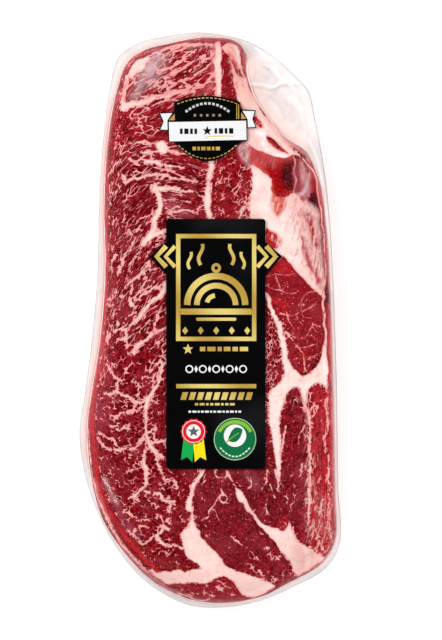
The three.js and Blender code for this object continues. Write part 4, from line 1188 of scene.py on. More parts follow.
def film_looks(places):
    """How milky, tinted and creased the film is at each place."""
    meat_depth, film_depth = loop_depth(places, MEAT_LOOP), loop_depth(places, FILM_LOOP)
    width = np.maximum(film_depth - meat_depth, 0.1)
    empty = smoothstep(width * MM_PER_UNIT, *EMPTY_LOOK_WIDTH)
    x, y = places[:, 0], places[:, 1]
    right, left = film_side(places, "right"), film_side(places, "left")
    corner_foot = film_side(places, "corner_foot") * smoothstep(y, 250, 212)
    upper = 1 - smoothstep(y, 60, 110)
    # Where the film takes on the colour of the meat beside it.
    warm = np.maximum(left, smoothstep(y, 130, 60) * lerp(0.6, 1, smoothstep(x, 170, 130)))
    warm = lerp(np.maximum(warm, 0.1 * smoothstep(y, 540, 500) + 0.4 * right), 0.8, empty)
    outside = 1 - smoothstep(meat_depth - 1.8 * empty, -1.4, 0.2 + 1.6 * right + 0.4 * upper)
    # White creases are partly the film's own whitening and partly painted highlight; the grey ones are
    # painted shade beside the folds.
    white, grey = crease_field(places, WHITE_AND_LIT_CREASES), crease_field(places, PAINTED_FOLD_SHADE)
    # Painted glare over the meat, broken up a little by noise.
    painted_glare = crease_field(places, PAINTED_GLARE) * lerp(0.55, 1, smoothstep(CREASES(places, 5), -0.6, 0.6))
    foot = np.clip(1 + meat_depth / lerp(7, 14, empty), 0, 1)
    # The milky rim outside the meat, and painted glare over the meat: reflections on the film laid on as
    # milk.
    haze = lerp(0.62 + 0.1 * right + 0.12 * corner_foot, 0.95, empty)
    milk = outside * (haze + 0.05 * white + 0.25 * warm * foot) + (1 - outside) * painted_glare
    # A painted dark line along the film's cut edge, standing in for the light bent there, stronger at the
    # bottom right.
    edge = (1 - smoothstep(film_depth, 0.3, 1.4)) * (0.3 + 0.4 * film_side(places, "right_edge"))
    return {
        "milk": np.clip(milk, 0, 1), "painted_edge_shade": edge * outside,
        "empty": np.maximum(empty, 0.55 * corner_foot), "foot": foot, "outside": outside, "warm": warm,
        # The crease value is whiter film, partly painted highlight, above zero, and painted fold shade below
        # zero.
        "ruddy": lerp(0.15, 1, left), "crease": outside * (white - grey),
    }


# Fine marbling: thin flecks of fat that lie in the cut face along the grain

# Low and high corners of the areas that the labels cover.
LABEL_ZONES = [((169, 221), (263, 467)), ((177, 102), (238, 148))]
FLECK_LIFT = 0.05
FLECK_RIDGE = 0.06
FLECK_SEED = 5
# Two sizes of fleck: spacing, shortest and longest, thinnest and thickest, steps along each half.
FLECK_SIZES = ((9.0, (4, 11), (0.5, 1.0), 4), (7.0, (2.5, 6), (0.4, 0.8), 3))
LEAST_HALF_WIDTH = 0.04


def under_label(points):
    hidden = np.zeros(len(points), bool)
    for low, high in LABEL_ZONES:
        hidden |= ((points > low) & (points < high)).all(1)
    return hidden


def fleck_seeds(rng, spacing):
    """Jittered starting places on the face, only where the grain is long, fewer where it is less marbled."""
    spots = hex_points(MEAT_LOOP.min(0), MEAT_LOOP.max(0), spacing)
    spots = spots + rng.uniform(-0.42, 0.42, spots.shape) * spacing
    long_grain = smoothstep(GRAIN_MAP.at(GRAIN_MAP.stretch, spots), 1.9, 2.5)
    spots = spots[rng.uniform(0, 1, len(spots)) < marbled_amount(spots) * long_grain]
    spots = spots[(loop_depth(spots, MEAT_LOOP) > 9) & ~under_label(spots)]
    return spots[fat_field(spots) < -0.7]


def traced(spots, length, sign, steps, wander):
    """Lines that start at the spots and follow the grain for a length."""
    path = [spots]
    for k in range(steps):
        here = path[-1]
        cos, sin = GRAIN_MAP.at(GRAIN_MAP.cos, here), GRAIN_MAP.at(GRAIN_MAP.sin, here)
        turn = wander + 0.15 * RAGGED(here, 6)
        right = cos * np.cos(turn) - sin * np.sin(turn)
        up = sin * np.cos(turn) + cos * np.sin(turn)
        way = np.column_stack([right, -up])
        way /= np.linalg.norm(way, axis=1)[:, None]
        path.append(here + sign * way * (length / steps)[:, None])
    return path


def fleck_lines(rng, spots, lengths, widths, steps):
    """The lines of the flecks and their half widths, which taper to both ends and are a little uneven."""
    wander = rng.normal(0, 0.2, len(spots))
    back = traced(spots, lengths / 2, -1, steps, wander)[::-1]
    fore = traced(spots, lengths / 2, 1, steps, wander)[1:]
    line = np.stack(back + fore, 1)
    share = np.linspace(0, 1, line.shape[1])
    profile = np.sin(np.pi * share) ** 0.7
    uneven = 1 + 0.35 * rng.uniform(-1, 1, (len(spots), line.shape[1]))
    half = np.maximum(widths[:, None] / 2 * profile * uneven, LEAST_HALF_WIDTH)
    return line, half


def fleck_strips(name, groups, height_at):
    """Closed three-sided strips, raised along their middle, for groups of lines and half widths."""
    points, faces, tones, start = [], [], [], 0
    for line, half in groups:
        count, stations = line.shape[:2]
        along = np.gradient(line, axis=1)
        along /= np.maximum(np.linalg.norm(along, axis=2), 1e-9)[..., None]
        normal = np.stack([-along[..., 1], along[..., 0]], -1)
        left, right = line + normal * half[..., None], line - normal * half[..., None]
        flat = np.stack([left, line, right], 2).reshape(-1, 2)
        height = height_at(flat).reshape(count, stations, 3)
        ridge = np.array([0.0, 1.0, 0.0]) * np.minimum(half, 1.0)[..., None] * FLECK_RIDGE
        height = height + (FLECK_LIFT + ridge)
        points.append(solid_points(flat, height.ravel()))
        tones.append(np.tile([0.0, 1.0, 0.0], count * stations))
        base = start + np.arange(count)[:, None] * stations * 3 + np.arange(stations - 1) * 3
        for a, b in ((0, 1), (1, 2), (2, 0)):
            faces.append(np.stack([base + a, base + b, base + 3 + b, base + 3 + a], -1).reshape(-1, 4))
        first = start + np.arange(count) * stations * 3
        last = first + (stations - 1) * 3
        faces.append(np.column_stack([first, first + 2, first + 1]))
        faces.append(np.column_stack([last, last + 1, last + 2]))
        start += count * stations * 3
    all_faces = [tuple(face) for group in faces for face in group.tolist()]
    piece = new_mesh(name, np.vstack(points), all_faces)
    add_values(piece, "tone", np.concatenate(tones))
    return piece


def fine_marbling():
    rng = np.random.default_rng(FLECK_SEED)
    groups = []
    for spacing, reach, thickness, steps in FLECK_SIZES:
        spots = fleck_seeds(rng, spacing)
        lengths = rng.uniform(*reach, len(spots))
        widths = rng.uniform(*thickness, len(spots))
        groups.append(fleck_lines(rng, spots, lengths, widths, steps))
    return fleck_strips("fine_marbling", groups, slab_height)


# Labels and their print

TALL = {"left": 166.2, "right": 265.4, "top": 219, "bottom": 469, "corner": 2.4}
TAB = {"root": 241.8, "tip": 256.6, "end": 275, "left": 149.8, "right": 282.2}
BADGE = {"left": 174.2, "right": 240.4, "shoulder": 102.6, "top": 95.8, "hip": 142, "bottom": 161.3}
RIBBON_LEFT_END = [(168.5, 142.2), (168.8, 130.9), (159, 130.4), (162.6, 121.7), (158.9, 112.9),
                   (174.1, 112.3)]
RIBBON_RIGHT_END = [(240.6, 109.8), (256, 110.4), (253.3, 119.1), (256.4, 127.8), (247.2, 128.4),
                    (247.4, 140.6)]
# How far apart the points of a label sheet are, inside and along its edges, and how far the inside ones stay
# from the edges.
SHEET_STEP = 7.0
SHEET_EDGE_STEP = 4.0
SHEET_MARGIN = 1.0


def arc_points(start, high, end, count):
    """Points of an arc through a start, a high point half way and an end."""
    a, c = np.array(start, float), np.array(end, float)
    b = np.array([high[0], 2 * high[1] - (a[1] + c[1]) / 2])
    t = np.linspace(0, 1, count + 1)[:, None]
    return (1 - t) ** 2 * a + 2 * t * (1 - t) * b + t ** 2 * c


def label_height(places):
    return skin_height(places, loop_depth(places, MEAT_LOOP)) + LABEL_LIFT


def split_long(loop):
    """The loop with points added along its long edges."""
    loop = np.asarray(loop, float)
    out = []
    for start, end in zip(loop, np.roll(loop, -1, 0)):
        parts = max(1, int(np.ceil(np.linalg.norm(end - start) / SHEET_EDGE_STEP)))
        out += [start + (end - start) * k / parts for k in range(parts)]
    return np.array(out)


def flat_sheet(shape):
    """Places and triangles of a shape, which is an outer loop and then its holes."""
    loops = [split_long(loop) for loop in shape]
    outer, holes = loops[0], loops[1:]
    grid = hex_points(outer.min(0), outer.max(0), SHEET_STEP)
    grid = grid[inside(grid, outer)]
    for loop in loops:
        grid = grid[line_distance(grid, np.vstack([loop, loop[:1]])) > SHEET_MARGIN]
    for hole in holes:
        grid = grid[~inside(grid, hole)]
    edges, first = [], 0
    for loop in loops:
        edges += [(first + k, first + (k + 1) % len(loop)) for k in range(len(loop))]
        first += len(loop)
    places = [Vector(p) for p in np.vstack(loops + [grid]).tolist()]
    out, _, found, _, _, _ = delaunay_2d_cdt(places, edges, [], 1, 1e-7)
    spots, triangles = np.array([tuple(p) for p in out]), np.array(found)
    middles = spots[triangles].mean(1)
    keep = inside(middles, outer)
    for hole in holes:
        keep &= ~inside(middles, hole)
    return spots, facing(spots, triangles[keep], True)


def draped(name, shapes, lift, thickness):
    """A thin closed sheet of one or more shapes, laid over the label's height."""
    points, faces, start = [], [], 0
    for shape in shapes:
        spots, triangles = flat_sheet(shape)
        height, count = label_height(spots), len(spots)
        points += [solid_points(spots, height + lift), solid_points(spots, height + lift - thickness)]
        faces += [tuple(t) for t in triangles + start]
        faces += [tuple(t) for t in triangles[:, ::-1] + start + count]
        directed = {(t[k], t[(k + 1) % 3]) for t in triangles.tolist() for k in range(3)}
        for a, b in sorted(directed):
            if (b, a) not in directed:
                faces.append((start + b, start + a, start + count + a, start + count + b))
        start += 2 * count
    return new_mesh(name, np.vstack(points), faces, smooth=False)


def box_loop(left, top, right, bottom, corner=0.0):
    if not corner:
        return [(left, top), (right, top), (right, bottom), (left, bottom)]
    loop = []
    for x, y, angle in ((right - corner, top + corner, -90), (right - corner, bottom - corner, 0),
                        (left + corner, bottom - corner, 90), (left + corner, top + corner, 180)):
        for k in range(4):
            turn = math.radians(angle + 30 * k)
            loop.append((x + corner * math.cos(turn), y + corner * math.sin(turn)))
    return loop


def disc_loop(middle, radius, count=36):
    return [(middle[0] + radius * math.cos(2 * math.pi * k / count),
             middle[1] + radius * math.sin(2 * math.pi * k / count)) for k in range(count)]


def star_loop(middle, outer, inner, tips=5):
    loop = []
    for k in range(2 * tips):
        reach, angle = inner if k % 2 else outer, math.pi * k / tips
        loop.append((middle[0] + reach * math.sin(angle), middle[1] - reach * math.cos(angle)))
    return loop


def frame_shape(left, top, right, bottom, stroke):
    hole = box_loop(left + stroke, top + stroke, right - stroke, bottom - stroke)
    return [box_loop(left, top, right, bottom), hole]


def band_shape(line, width):
    """A band of even width along a line."""
    line = np.asarray(line, float)
    along = np.gradient(line, axis=0)
    along /= np.linalg.norm(along, axis=1)[:, None]
    normal = np.column_stack([-along[:, 1], along[:, 0]])
    return [np.vstack([line + normal * width / 2, (line - normal * width / 2)[::-1]])]


def tall_label_loop():
    left, right, top, bottom, corner = (TALL[key] for key in ("left", "right", "top", "bottom", "corner"))
    nick = 0.3 * corner
    return [(left, top + corner), (left + nick, top + nick), (left + corner, top), (right - corner, top),
            (right - nick, top + nick), (right, top + corner), (right, TAB["root"]),
            (TAB["right"], TAB["tip"]), (right, TAB["end"]), (right, bottom - corner),
            (right - nick, bottom - nick), (right - corner, bottom), (left + corner, bottom),
            (left + nick, bottom - nick), (left, bottom - corner), (left, TAB["end"]),
            (TAB["left"], TAB["tip"]), (left, TAB["root"])]


def badge_label_loop():
    left, right, shoulder = BADGE["left"], BADGE["right"], BADGE["shoulder"]
    middle = (left + right) / 2
    over = arc_points((left, shoulder), (middle, BADGE["top"]), (right, shoulder), 10)
    under = arc_points((right, BADGE["hip"]), (middle, BADGE["bottom"]), (left, BADGE["hip"]), 14)
    return [*map(tuple, over), *RIBBON_RIGHT_END, *map(tuple, under), *RIBBON_LEFT_END]


# Materials

# Colours inside the materials, as they should look in the picture.
TINTS = {
    "grit": (202, 88, 95), "bloom": (158, 56, 66), "veil": (198, 66, 76), "line_edge": (214, 64, 72),
    "line_core": (242, 168, 166), "fat_cloud": (236, 172, 164), "fleece": (238, 182, 174),
    "fat_thread": (232, 158, 152), "fat_border": (222, 80, 86), "red_fibre": (182, 44, 48),
    "pale_fibre": (248, 202, 195), "wall_fat": (232, 140, 136), "wall_lean": (182, 52, 60),
    "under_lean": (150, 24, 36), "under_fat": (248, 214, 206), "fleck_edge": (200, 70, 80),
    "fleck_core": (238, 178, 173), "film": (244, 238, 237), "film_streak": (238, 229, 228),
    "film_warm": (241, 210, 202), "film_ruddy": (222, 136, 132), "corner": (246, 235, 233),
    "corner_foot": (240, 209, 202), "corner_root": (246, 210, 204), "painted_glare": (247, 208, 213),
    "crease_white_and_highlight": (255, 253, 252), "painted_fold_shade": (214, 200, 198), "painted_edge_shade": (150, 146, 146),
    "black": (6, 6, 7), "painted_black_sheen": (28, 28, 31), "gold_dark": (206, 168, 72),
    "gold_light": (255, 230, 132),
}
INKS = {
    "white_ink": (240, 240, 238), "seal_white": (244, 243, 240), "rosette_red": (226, 30, 44),
    "seal_green": (14, 112, 66), "leaf_green": (132, 190, 62), "tail_yellow": (250, 226, 30),
    "tail_green": (22, 170, 80), "star_grey": (92, 96, 104), "rim_green": (168, 206, 150),
    "star_bronze": (168, 150, 120), "badge_ink": (206, 205, 202), "fold_gold": (196, 148, 84),
    "ribbon_ink": (236, 236, 238), "ribbon_black": (16, 16, 16), "swash_yellow": (238, 206, 70),
}


def rgba(colour):
    return (*[float(c) for c in colour], 1.0)


def tint(name, gain=LIGHT_GAIN):
    return rgba(paint(TINTS[name], gain))


class Graph:
    """A material's node tree; node() takes input values or links by socket name or number."""

    def __init__(self, name):
        self.material = bpy.data.materials.new(name)
        self.material.use_nodes = True
        self.tree = self.material.node_tree
        self.tree.nodes.clear()
        self.output = self.tree.nodes.new("ShaderNodeOutputMaterial")

    def node(self, kind, settings=None, out=0, **inputs):
        made = self.tree.nodes.new("ShaderNode" + kind)
        for key, value in (settings or {}).items():
            setattr(made, key, value)
        for key, value in inputs.items():
            numbered = key[0] == "i" and key[1:].isdigit()
            socket = made.inputs[int(key[1:]) if numbered else key.replace("_", " ")]
            if isinstance(value, bpy.types.NodeSocket):
                self.tree.links.new(value, socket)
            else:
                socket.default_value = value
        return made if out is None else made.outputs[out]

    def math(self, operation, first, second=0.0, third=0.0):
        return self.node("Math", {"operation": operation}, i0=first, i1=second, i2=third)

    def times(self, first, second):
        return self.math("MULTIPLY", first, second)

    def plus(self, first, second):
        return self.math("ADD", first, second)

    def minus(self, first, second):
        return self.math("SUBTRACT", first, second)

    def most(self, first, second):
        return self.math("MAXIMUM", first, second)

    def linear(self, value, gain, shift):
        """The value times a gain, plus a shift."""
        return self.math("MULTIPLY_ADD", value, gain, shift)

    def vectors(self, operation, first, second):
        return self.node("VectorMath", {"operation": operation}, i0=first, i1=second)

    def scaled(self, vector, x, y):
        return self.vectors("MULTIPLY", vector, (x, y, 1.0))

    def turned(self, vector, angle):
        return self.node("VectorRotate", {"rotation_type": "Z_AXIS"}, Vector=vector, Angle=angle)

    def place(self):
        return self.node("TexCoord", out="Object")

    def value(self, name):
        return self.node("Attribute", {"attribute_name": name}, out="Fac")

    def colour(self, name):
        return self.node("Attribute", {"attribute_name": name}, out="Color")

    def step(self, value, low, high, to_low=0.0, to_high=1.0):
        settings = {"interpolation_type": "SMOOTHSTEP"}
        return self.node("MapRange", settings, i0=value, i1=low, i2=high, i3=to_low, i4=to_high)

    def mix(self, share, first, second, blend="MIX"):
        settings = {"data_type": "RGBA", "blend_type": blend}
        return self.node("Mix", settings, out=2, i0=share, i6=first, i7=second)

    def noise(self, vector, scale, detail=2.0, roughness=0.5):
        return self.node("TexNoise", Vector=vector, Scale=scale, Detail=detail, Roughness=roughness)

    def cells(self, vector, scale, feature="F1", out="Distance"):
        return self.node("TexVoronoi", {"feature": feature}, out=out, Vector=vector, Scale=scale)

    def borders(self, vector, scale):
        return self.cells(vector, scale, "DISTANCE_TO_EDGE")

    def cell_tone(self, vector, scale):
        """A number between 0 and 1 that differs from cell to cell."""
        return self.node("SeparateColor", i0=self.cells(vector, scale, out="Color"))

    def bump(self, height, strength, distance):
        return self.node("Bump", Strength=strength, Distance=distance, Height=height)

    def finish(self, shader):
        self.tree.links.new(shader, self.output.inputs["Surface"])
        return self.material


# Patterns are scaled in cells for each metre, and those that follow the grain in cells for each cell of the
# marbling. Directions, stretches and cell sizes of the grain are rounded to these steps.
TURN_STEP = math.radians(12)
STRETCH_STEP = 0.6
CELL_STEP = 0.4
BEND_SCALE = 300.0
BEND_REACH = 0.26
FINE_NET = 2.1
# Dots of fat: scale, size from solid to gone, strength, rarity from none to all.
FAT_DOTS = (430.0, (0.09, 0.25), 0.8, (0.6, 0.66))
FAT_SPECKS = (800.0, (0.1, 0.28), 0.78, (0.68, 0.74))
# Amounts of marbling between which the bundles of lean and their net of lines show.
BUNDLED_FROM = (0.04, 0.3)
NETTED_FROM = (0.28, 0.45)
FIBRE_SCALES = {"red_fibre": 800.0, "pale_fibre": 620.0}
FIBRE_TURN = 0.3


def bent_grain(g, place):
    """Coordinates along and across the grain, in cells of the marbling, bent a little by noise. The rounding
    gives each stretch of meat straight coordinates of its own."""
    loose = g.linear(g.noise(place, BEND_SCALE, 1.0), 0.5, -0.25)
    turn = g.math("SNAP", g.plus(g.value("turn"), loose), TURN_STEP)
    stretch = g.math("SNAP", g.plus(g.value("stretch"), STRETCH_STEP / 2), STRETCH_STEP)
    cell = g.math("SNAP", g.plus(g.value("cell"), CELL_STEP / 2), CELL_STEP)
    across = g.math("DIVIDE", 1 / METRE, cell)
    along = g.math("DIVIDE", across, stretch)
    units = g.node("CombineXYZ", i0=along, i1=across, i2=across)
    straight = g.vectors("MULTIPLY", g.turned(place, g.times(turn, -1.0)), units)
    wobble = g.node("TexNoise", out="Color", Vector=place, Scale=BEND_SCALE, Detail=1.0)
    centred = g.vectors("SUBTRACT", wobble, (0.5, 0.5, 0.5))
    shift = g.node("VectorMath", {"operation": "SCALE"}, i0=centred, Scale=BEND_REACH)
    return g.vectors("ADD", straight, shift)


def net_lines(g, place, bent, border, marbled):
    """Lines between the bundles of lean, which widen into teeth beside authored fat."""
    beside = g.times(g.step(g.value("fat"), -1.1, 0.05, 0.0, 0.09), g.step(marbled, 0.2, 0.5))
    shown = g.step(g.minus(g.linear(marbled, 0.36, 0.33), g.noise(bent, 0.55)), -0.04, 0.12)
    thick = g.linear(g.noise(place, 150.0), 0.2, -0.042)
    thick = g.plus(g.times(shown, thick), beside)
    line = g.step(g.minus(thick, border), -0.03, 0.02)
    return g.times(g.times(line, g.most(shown, g.step(beside, 0.0, 0.06))), 0.95)


def fine_lines(g, place, bent, marbled, long_grain):
    reach = g.linear(marbled, 0.22, 0.34)
    shown = g.step(g.minus(reach, g.noise(place, 380.0, 1.0)), -0.02, 0.05)
    line = g.step(g.borders(bent, FINE_NET), 0.015, 0.12, 0.56, 0.0)
    return g.times(line, g.times(shown, g.linear(long_grain, 0.1, 0.75)))


def fat_streaks(g, bent, marbled, long_grain):
    streak = g.noise(g.scaled(bent, 0.5, 1.5), 1.0, 2.0, 0.55)
    streak = g.step(g.minus(streak, g.linear(marbled, -0.2, 0.83)), 0.0, 0.05)
    return g.times(streak, g.linear(long_grain, 0.85, 0.15))


def fat_dots(g, place, scale, size, strength, rarity):
    dot = g.step(g.cells(place, scale), *size, strength, 0.0)
    return g.times(dot, g.step(g.cell_tone(place, scale), *rarity))


def marbling_lines(g, place, bent, border):
    """Share of fat in the lines between bundles of lean, in streaks along the grain and in specks."""
    marbled = g.value("marbled")
    long_grain = g.step(g.value("stretch"), 1.4, 2.4)
    coarse, fine = net_lines(g, place, bent, border, marbled), fine_lines(g, place, bent, marbled, long_grain)
    streaks = fat_streaks(g, bent, marbled, long_grain)
    dots = g.most(fat_dots(g, place, *FAT_DOTS), fat_dots(g, place, *FAT_SPECKS))
    dots = g.times(dots, g.step(marbled, *NETTED_FROM, 1.0, 0.5))
    share = g.most(g.most(coarse, fine), g.most(streaks, dots))
    return g.times(share, g.step(marbled, 0.0, 0.06))


def ragged_fat(g, place, bundled):
    """Distance in from the border of authored fat in millimetres, made ragged."""
    rough = g.linear(g.noise(place, 420.0, 1.0), 1.4, -0.74)
    rough = g.plus(rough, g.linear(g.noise(place, 1000.0, 1.0), 1.0, -0.5))
    return g.plus(g.value("fat"), g.times(rough, g.linear(bundled, 0.62, 0.35)))


def bundle_tones(g, bent, border, bundled, mottle):
    """How bright the lean is: each bundle has its own tone, mottled along the grain."""
    tones = g.linear(g.cell_tone(bent, 1.0), 0.46, g.linear(g.cell_tone(bent, FINE_NET), 0.26, -0.38))
    tones = g.plus(tones, g.step(border, 0.05, 0.3, 0.22, 0.0))
    bright = g.linear(tones, bundled, g.linear(bundled, -0.16, 0.86))
    bright = g.plus(bright, g.linear(mottle, 0.9, -0.45))
    bright = g.plus(bright, g.linear(g.noise(bent, 5.0, 2.0, 0.6), 0.8, -0.4))
    return g.most(bright, 0.2)


def lean_colour(g, place, border, bundled, bright, lines):
    """Lean with grit, pale blooms and a veil beside the net, under the lines of marbling."""
    grey = g.node("CombineColor", i0=bright, i1=bright, i2=bright)
    lean = g.mix(1.0, g.colour("lean_paint"), grey, "MULTIPLY")
    netted = g.step(g.value("marbled"), *NETTED_FROM)
    grit = g.step(g.noise(place, 1200.0, 2.0, 0.6), 0.5, 0.72, 0.0, 0.34)
    lean = g.mix(g.times(grit, g.linear(netted, -0.7, 1.0)), lean, tint("grit"))
    bloom = g.step(g.noise(place, 85.0, 3.0), 0.48, 0.7, 0.0, 0.36)
    lean = g.mix(g.times(bloom, g.linear(bundled, 0.75, 0.25)), lean, tint("bloom"))
    veil = g.times(g.step(border, 0.01, 0.12, 1.0, 0.0), netted)
    veil = g.times(veil, g.step(g.noise(place, 230.0, 2.0), 0.35, 0.7, 0.0, 0.35))
    lean = g.mix(veil, lean, tint("veil"))
    return g.mix(lines, lean, g.mix(g.step(lines, 0.45, 0.95), tint("line_edge"), tint("line_core")))


def fat_colour(g, place, inward):
    """Fat: cream with faint rosy clouds and threads, pink along its border."""
    cloud = g.step(g.noise(place, 120.0, 4.0, 0.65), 0.46, 0.72)
    fat = g.mix(g.times(cloud, 0.42), g.colour("fat_paint"), tint("fat_cloud"))
    fleece = g.step(g.noise(place, 520.0, 3.0, 0.65), 0.42, 0.68, 0.0, 0.3)
    fat = g.mix(fleece, fat, tint("fleece"))
    thread = g.step(g.borders(place, 200.0), 0.0, 0.06, 0.4, 0.0)
    thread = g.times(thread, g.step(g.noise(place, 90.0), 0.42, 0.62))
    fat = g.mix(thread, fat, tint("fat_thread"))
    return g.mix(g.step(inward, -0.1, 1.0), g.mix(0.6, fat, tint("fat_border")), fat)


def with_fibres(g, place, face):
    """The face with tissue of mixed red and cream fibres in its fuzzy places."""
    fuzz = g.value("fuzz")
    fibres = g.scaled(g.turned(place, FIBRE_TURN), 1.0, 0.3)
    for name, scale in FIBRE_SCALES.items():
        fibre = g.step(g.noise(fibres, scale, 3.0, 0.65), 0.5, 0.62, 0.0, 0.8)
        face = g.mix(g.times(fuzz, fibre), face, tint(name))
    return face


def with_sides(g, place, face, side):
    """The face, the side with its rind of fat that lets red show through, and the marbled underside."""
    wall_patch = g.step(g.noise(place, 60.0, 4.0, 0.6), 0.42, 0.6)
    wall = g.mix(wall_patch, tint("wall_fat"), tint("wall_lean"))
    colour = g.mix(g.times(side, 0.55), face, wall)
    low_line = g.step(g.borders(place, 170.0), 0.02, 0.09, 0.8, 0.0)
    low_seam = g.step(g.noise(place, 26.0, 3.0), 0.56, 0.6)
    low = g.mix(g.most(low_line, low_seam), tint("under_lean"), tint("under_fat"))
    return g.mix(g.value("under"), colour, low)


def raw_beef():
    g = Graph("raw_beef")
    place = g.place()
    side = g.value("side")
    bent = bent_grain(g, place)
    border = g.borders(bent, 1.0)
    bundled = g.step(g.value("marbled"), *BUNDLED_FROM)
    inward = ragged_fat(g, place, bundled)
    fat_share = g.step(inward, -0.2, 0.24)
    lines = g.times(marbling_lines(g, place, bent, border), g.minus(1.0, side))
    mottle = g.noise(place, 260.0, 3.0, 0.6)
    bright = bundle_tones(g, bent, border, bundled, mottle)
    lean = lean_colour(g, place, border, bundled, bright, lines)
    face = g.mix(fat_share, lean, fat_colour(g, place, inward))
    colour = with_sides(g, place, with_fibres(g, place, face), side)
    height = g.linear(g.most(fat_share, lines), 0.5, g.times(mottle, 0.6))
    return g.finish(g.node("BsdfDiffuse", Color=colour, Normal=g.bump(height, 0.25, 0.0004)))


def fat_fleck():
    """Flecks of fat, pink along their borders."""
    g = Graph("fat_fleck")
    uneven = g.linear(g.noise(g.place(), 700.0, 1.0), 0.6, -0.3)
    share = g.step(g.plus(g.value("tone"), uneven), 0.1, 0.75)
    return g.finish(g.node("BsdfDiffuse", Color=g.mix(share, tint("fleck_edge"), tint("fleck_core"))))


def film_tint(g, place):
    """Colour of milky film: warmer towards the meat, paler in the empty corner, whiter along creases partly
    by painted highlight, with painted fold shade, painted glare and a painted dark edge line.
    """
    foot, crease = g.value("foot"), g.value("crease")
    streak = g.noise(place, 140.0, 3.0, 0.6)
    colour = g.mix(g.step(streak, 0.35, 0.7), tint("film"), tint("film_streak"))
    colour = g.mix(g.times(g.step(foot, 0.15, 0.6), g.value("warm")), colour, tint("film_warm"))
    colour = g.mix(g.times(g.step(foot, 0.6, 0.97), g.value("ruddy")), colour, tint("film_ruddy"))
    corner = g.mix(foot, tint("corner", SHADED_GAIN), tint("corner_foot", SHADED_GAIN))
    corner = g.mix(g.step(foot, 0.9, 1.0), corner, tint("corner_root", DEEP_SHADE_GAIN))
    colour = g.mix(g.value("empty"), colour, corner)
    # Over the meat the film takes the colour of the painted glare.
    colour = g.mix(g.value("outside"), tint("painted_glare"), colour)
    # Whiter along creases: partly the film's own whitening, partly painted highlight.
    colour = g.mix(g.step(crease, 0.0, 1.0), colour, tint("crease_white_and_highlight", SHADED_GAIN))
    # Painted shade beside the folds, where the crease value is below zero.
    colour = g.mix(g.step(crease, -1.0, 0.0, 1.0, 0.0), colour, tint("painted_fold_shade"))
    # The painted dark line at the film's cut edge.
    return g.mix(g.value("painted_edge_shade"), colour, tint("painted_edge_shade"))


def clear_film():
    """Clear skin with a faint gloss that grows towards its edges, milky where the mesh says so."""
    g = Graph("clear_film")
    place = g.place()
    gloss_share = g.linear(g.math("POWER", g.node("LayerWeight", out="Facing", Blend=0.5), 8.0), 0.4, 0.003)
    ripple = g.bump(g.noise(place, 95.0, 3.0, 0.6), 0.25, 0.001)
    clear = g.node("BsdfTransparent", Color=(0.985, 0.985, 0.985, 1))
    gloss = g.node("BsdfGlossy", Color=(1, 1, 1, 1), Roughness=0.12, Normal=ripple)
    skin = g.node("MixShader", i0=gloss_share, i1=clear, i2=gloss)
    haze = g.node("BsdfDiffuse", Color=film_tint(g, place))
    # The milk holds the painted glare over the meat, and the painted dark edge line makes the film a little
    # more milky.
    milk = g.plus(g.value("milk"), g.times(g.value("painted_edge_shade"), 0.3))
    return g.finish(g.node("MixShader", i0=milk, i1=skin, i2=haze))


def label_bump(g, place):
    return g.bump(g.noise(place, 160.0, 2.0), 0.15, 0.0002)


def satin_black():
    """Black label stock with a painted soft grey sheen in places."""
    g = Graph("satin_black")
    place = g.place()
    # Painted sheen: lighter grey patches in the base colour.
    sheen = g.step(g.noise(place, 24.0, 2.0), 0.5, 0.75, 0.0, 0.8)
    shade = g.mix(sheen, tint("black"), tint("painted_black_sheen"))
    return g.finish(g.node("BsdfPrincipled", Base_Color=shade, Roughness=0.45, Specular_IOR_Level=0.03,
                           Normal=label_bump(g, place)))


def printed(name, roughness=0.42, grain=0.25):
    """Printed film: one ink with a faint unevenness."""
    g = Graph(name)
    place = g.place()
    colour = paint(INKS[name])
    shade = g.mix(g.times(g.noise(place, 90.0, 3.0), grain), rgba(colour), rgba(colour * 0.6))
    return g.finish(g.node("BsdfPrincipled", Base_Color=shade, Roughness=roughness, Specular_IOR_Level=0.15,
                           Normal=label_bump(g, place)))


def gold_foil():
    """Gold ink with a painted reflection that turns from light to dark along the label."""
    g = Graph("gold_foil")
    parts = g.node("SeparateXYZ", out=None, i0=g.place())
    slant = g.linear(parts.outputs[0], 32.0, g.times(parts.outputs[1], 26.0))
    # Painted reflection: slanted bands from dark to light gold, as the foil would mirror the studio.
    wave = g.linear(g.math("SINE", g.times(slant, 5.2)), 0.5, 0.5)
    colour = g.mix(wave, tint("gold_dark"), tint("gold_light"))
    return g.finish(g.node("BsdfPrincipled", Base_Color=colour, Roughness=0.35, Metallic=0.25))


# Studio

# A far camera straight above, whose picture is as high as the frame at the focus height.
CAMERA_HEIGHT = 6.0
SENSOR = 36.0
FRAME_MIDDLE = np.array([221.0, 320.0])
FRAME_HEIGHT = 640 * MM_PER_UNIT * METRE
FOCUS_Z = 0.032
FLOOR_HALF = 3.0
FLOOR_Z = -0.0003
# The surroundings are bright up to the first share of the way up and dim from the second one.
WORLD_SPAN = (0.45, 0.9)
WORLD_STRENGTH = (2.1, 0.02)


def add_camera():
    data = bpy.data.cameras.new("studio_camera")
    data.sensor_width = SENSOR
    data.lens = SENSOR * (CAMERA_HEIGHT - FOCUS_Z) / FRAME_HEIGHT
    data.clip_end = 30.0
    camera = bpy.data.objects.new("studio_camera", data)
    x, y = to_mm(FRAME_MIDDLE) * METRE
    camera.location = (x, y, CAMERA_HEIGHT)
    bpy.context.scene.collection.objects.link(camera)
    bpy.context.scene.camera = camera


def add_area_light(name, location, size, power, in_gloss):
    """A square soft light; one that isn't seen in gloss lights the meat without fogging the film over it."""
    data = bpy.data.lights.new(name, "AREA")
    data.size = size
    data.energy = power
    light = bpy.data.objects.new(name, data)
    light.location = location
    light.rotation_euler = (-Vector(location)).to_track_quat("-Z", "Y").to_euler()
    light.visible_glossy = in_gloss
    bpy.context.scene.collection.objects.link(light)


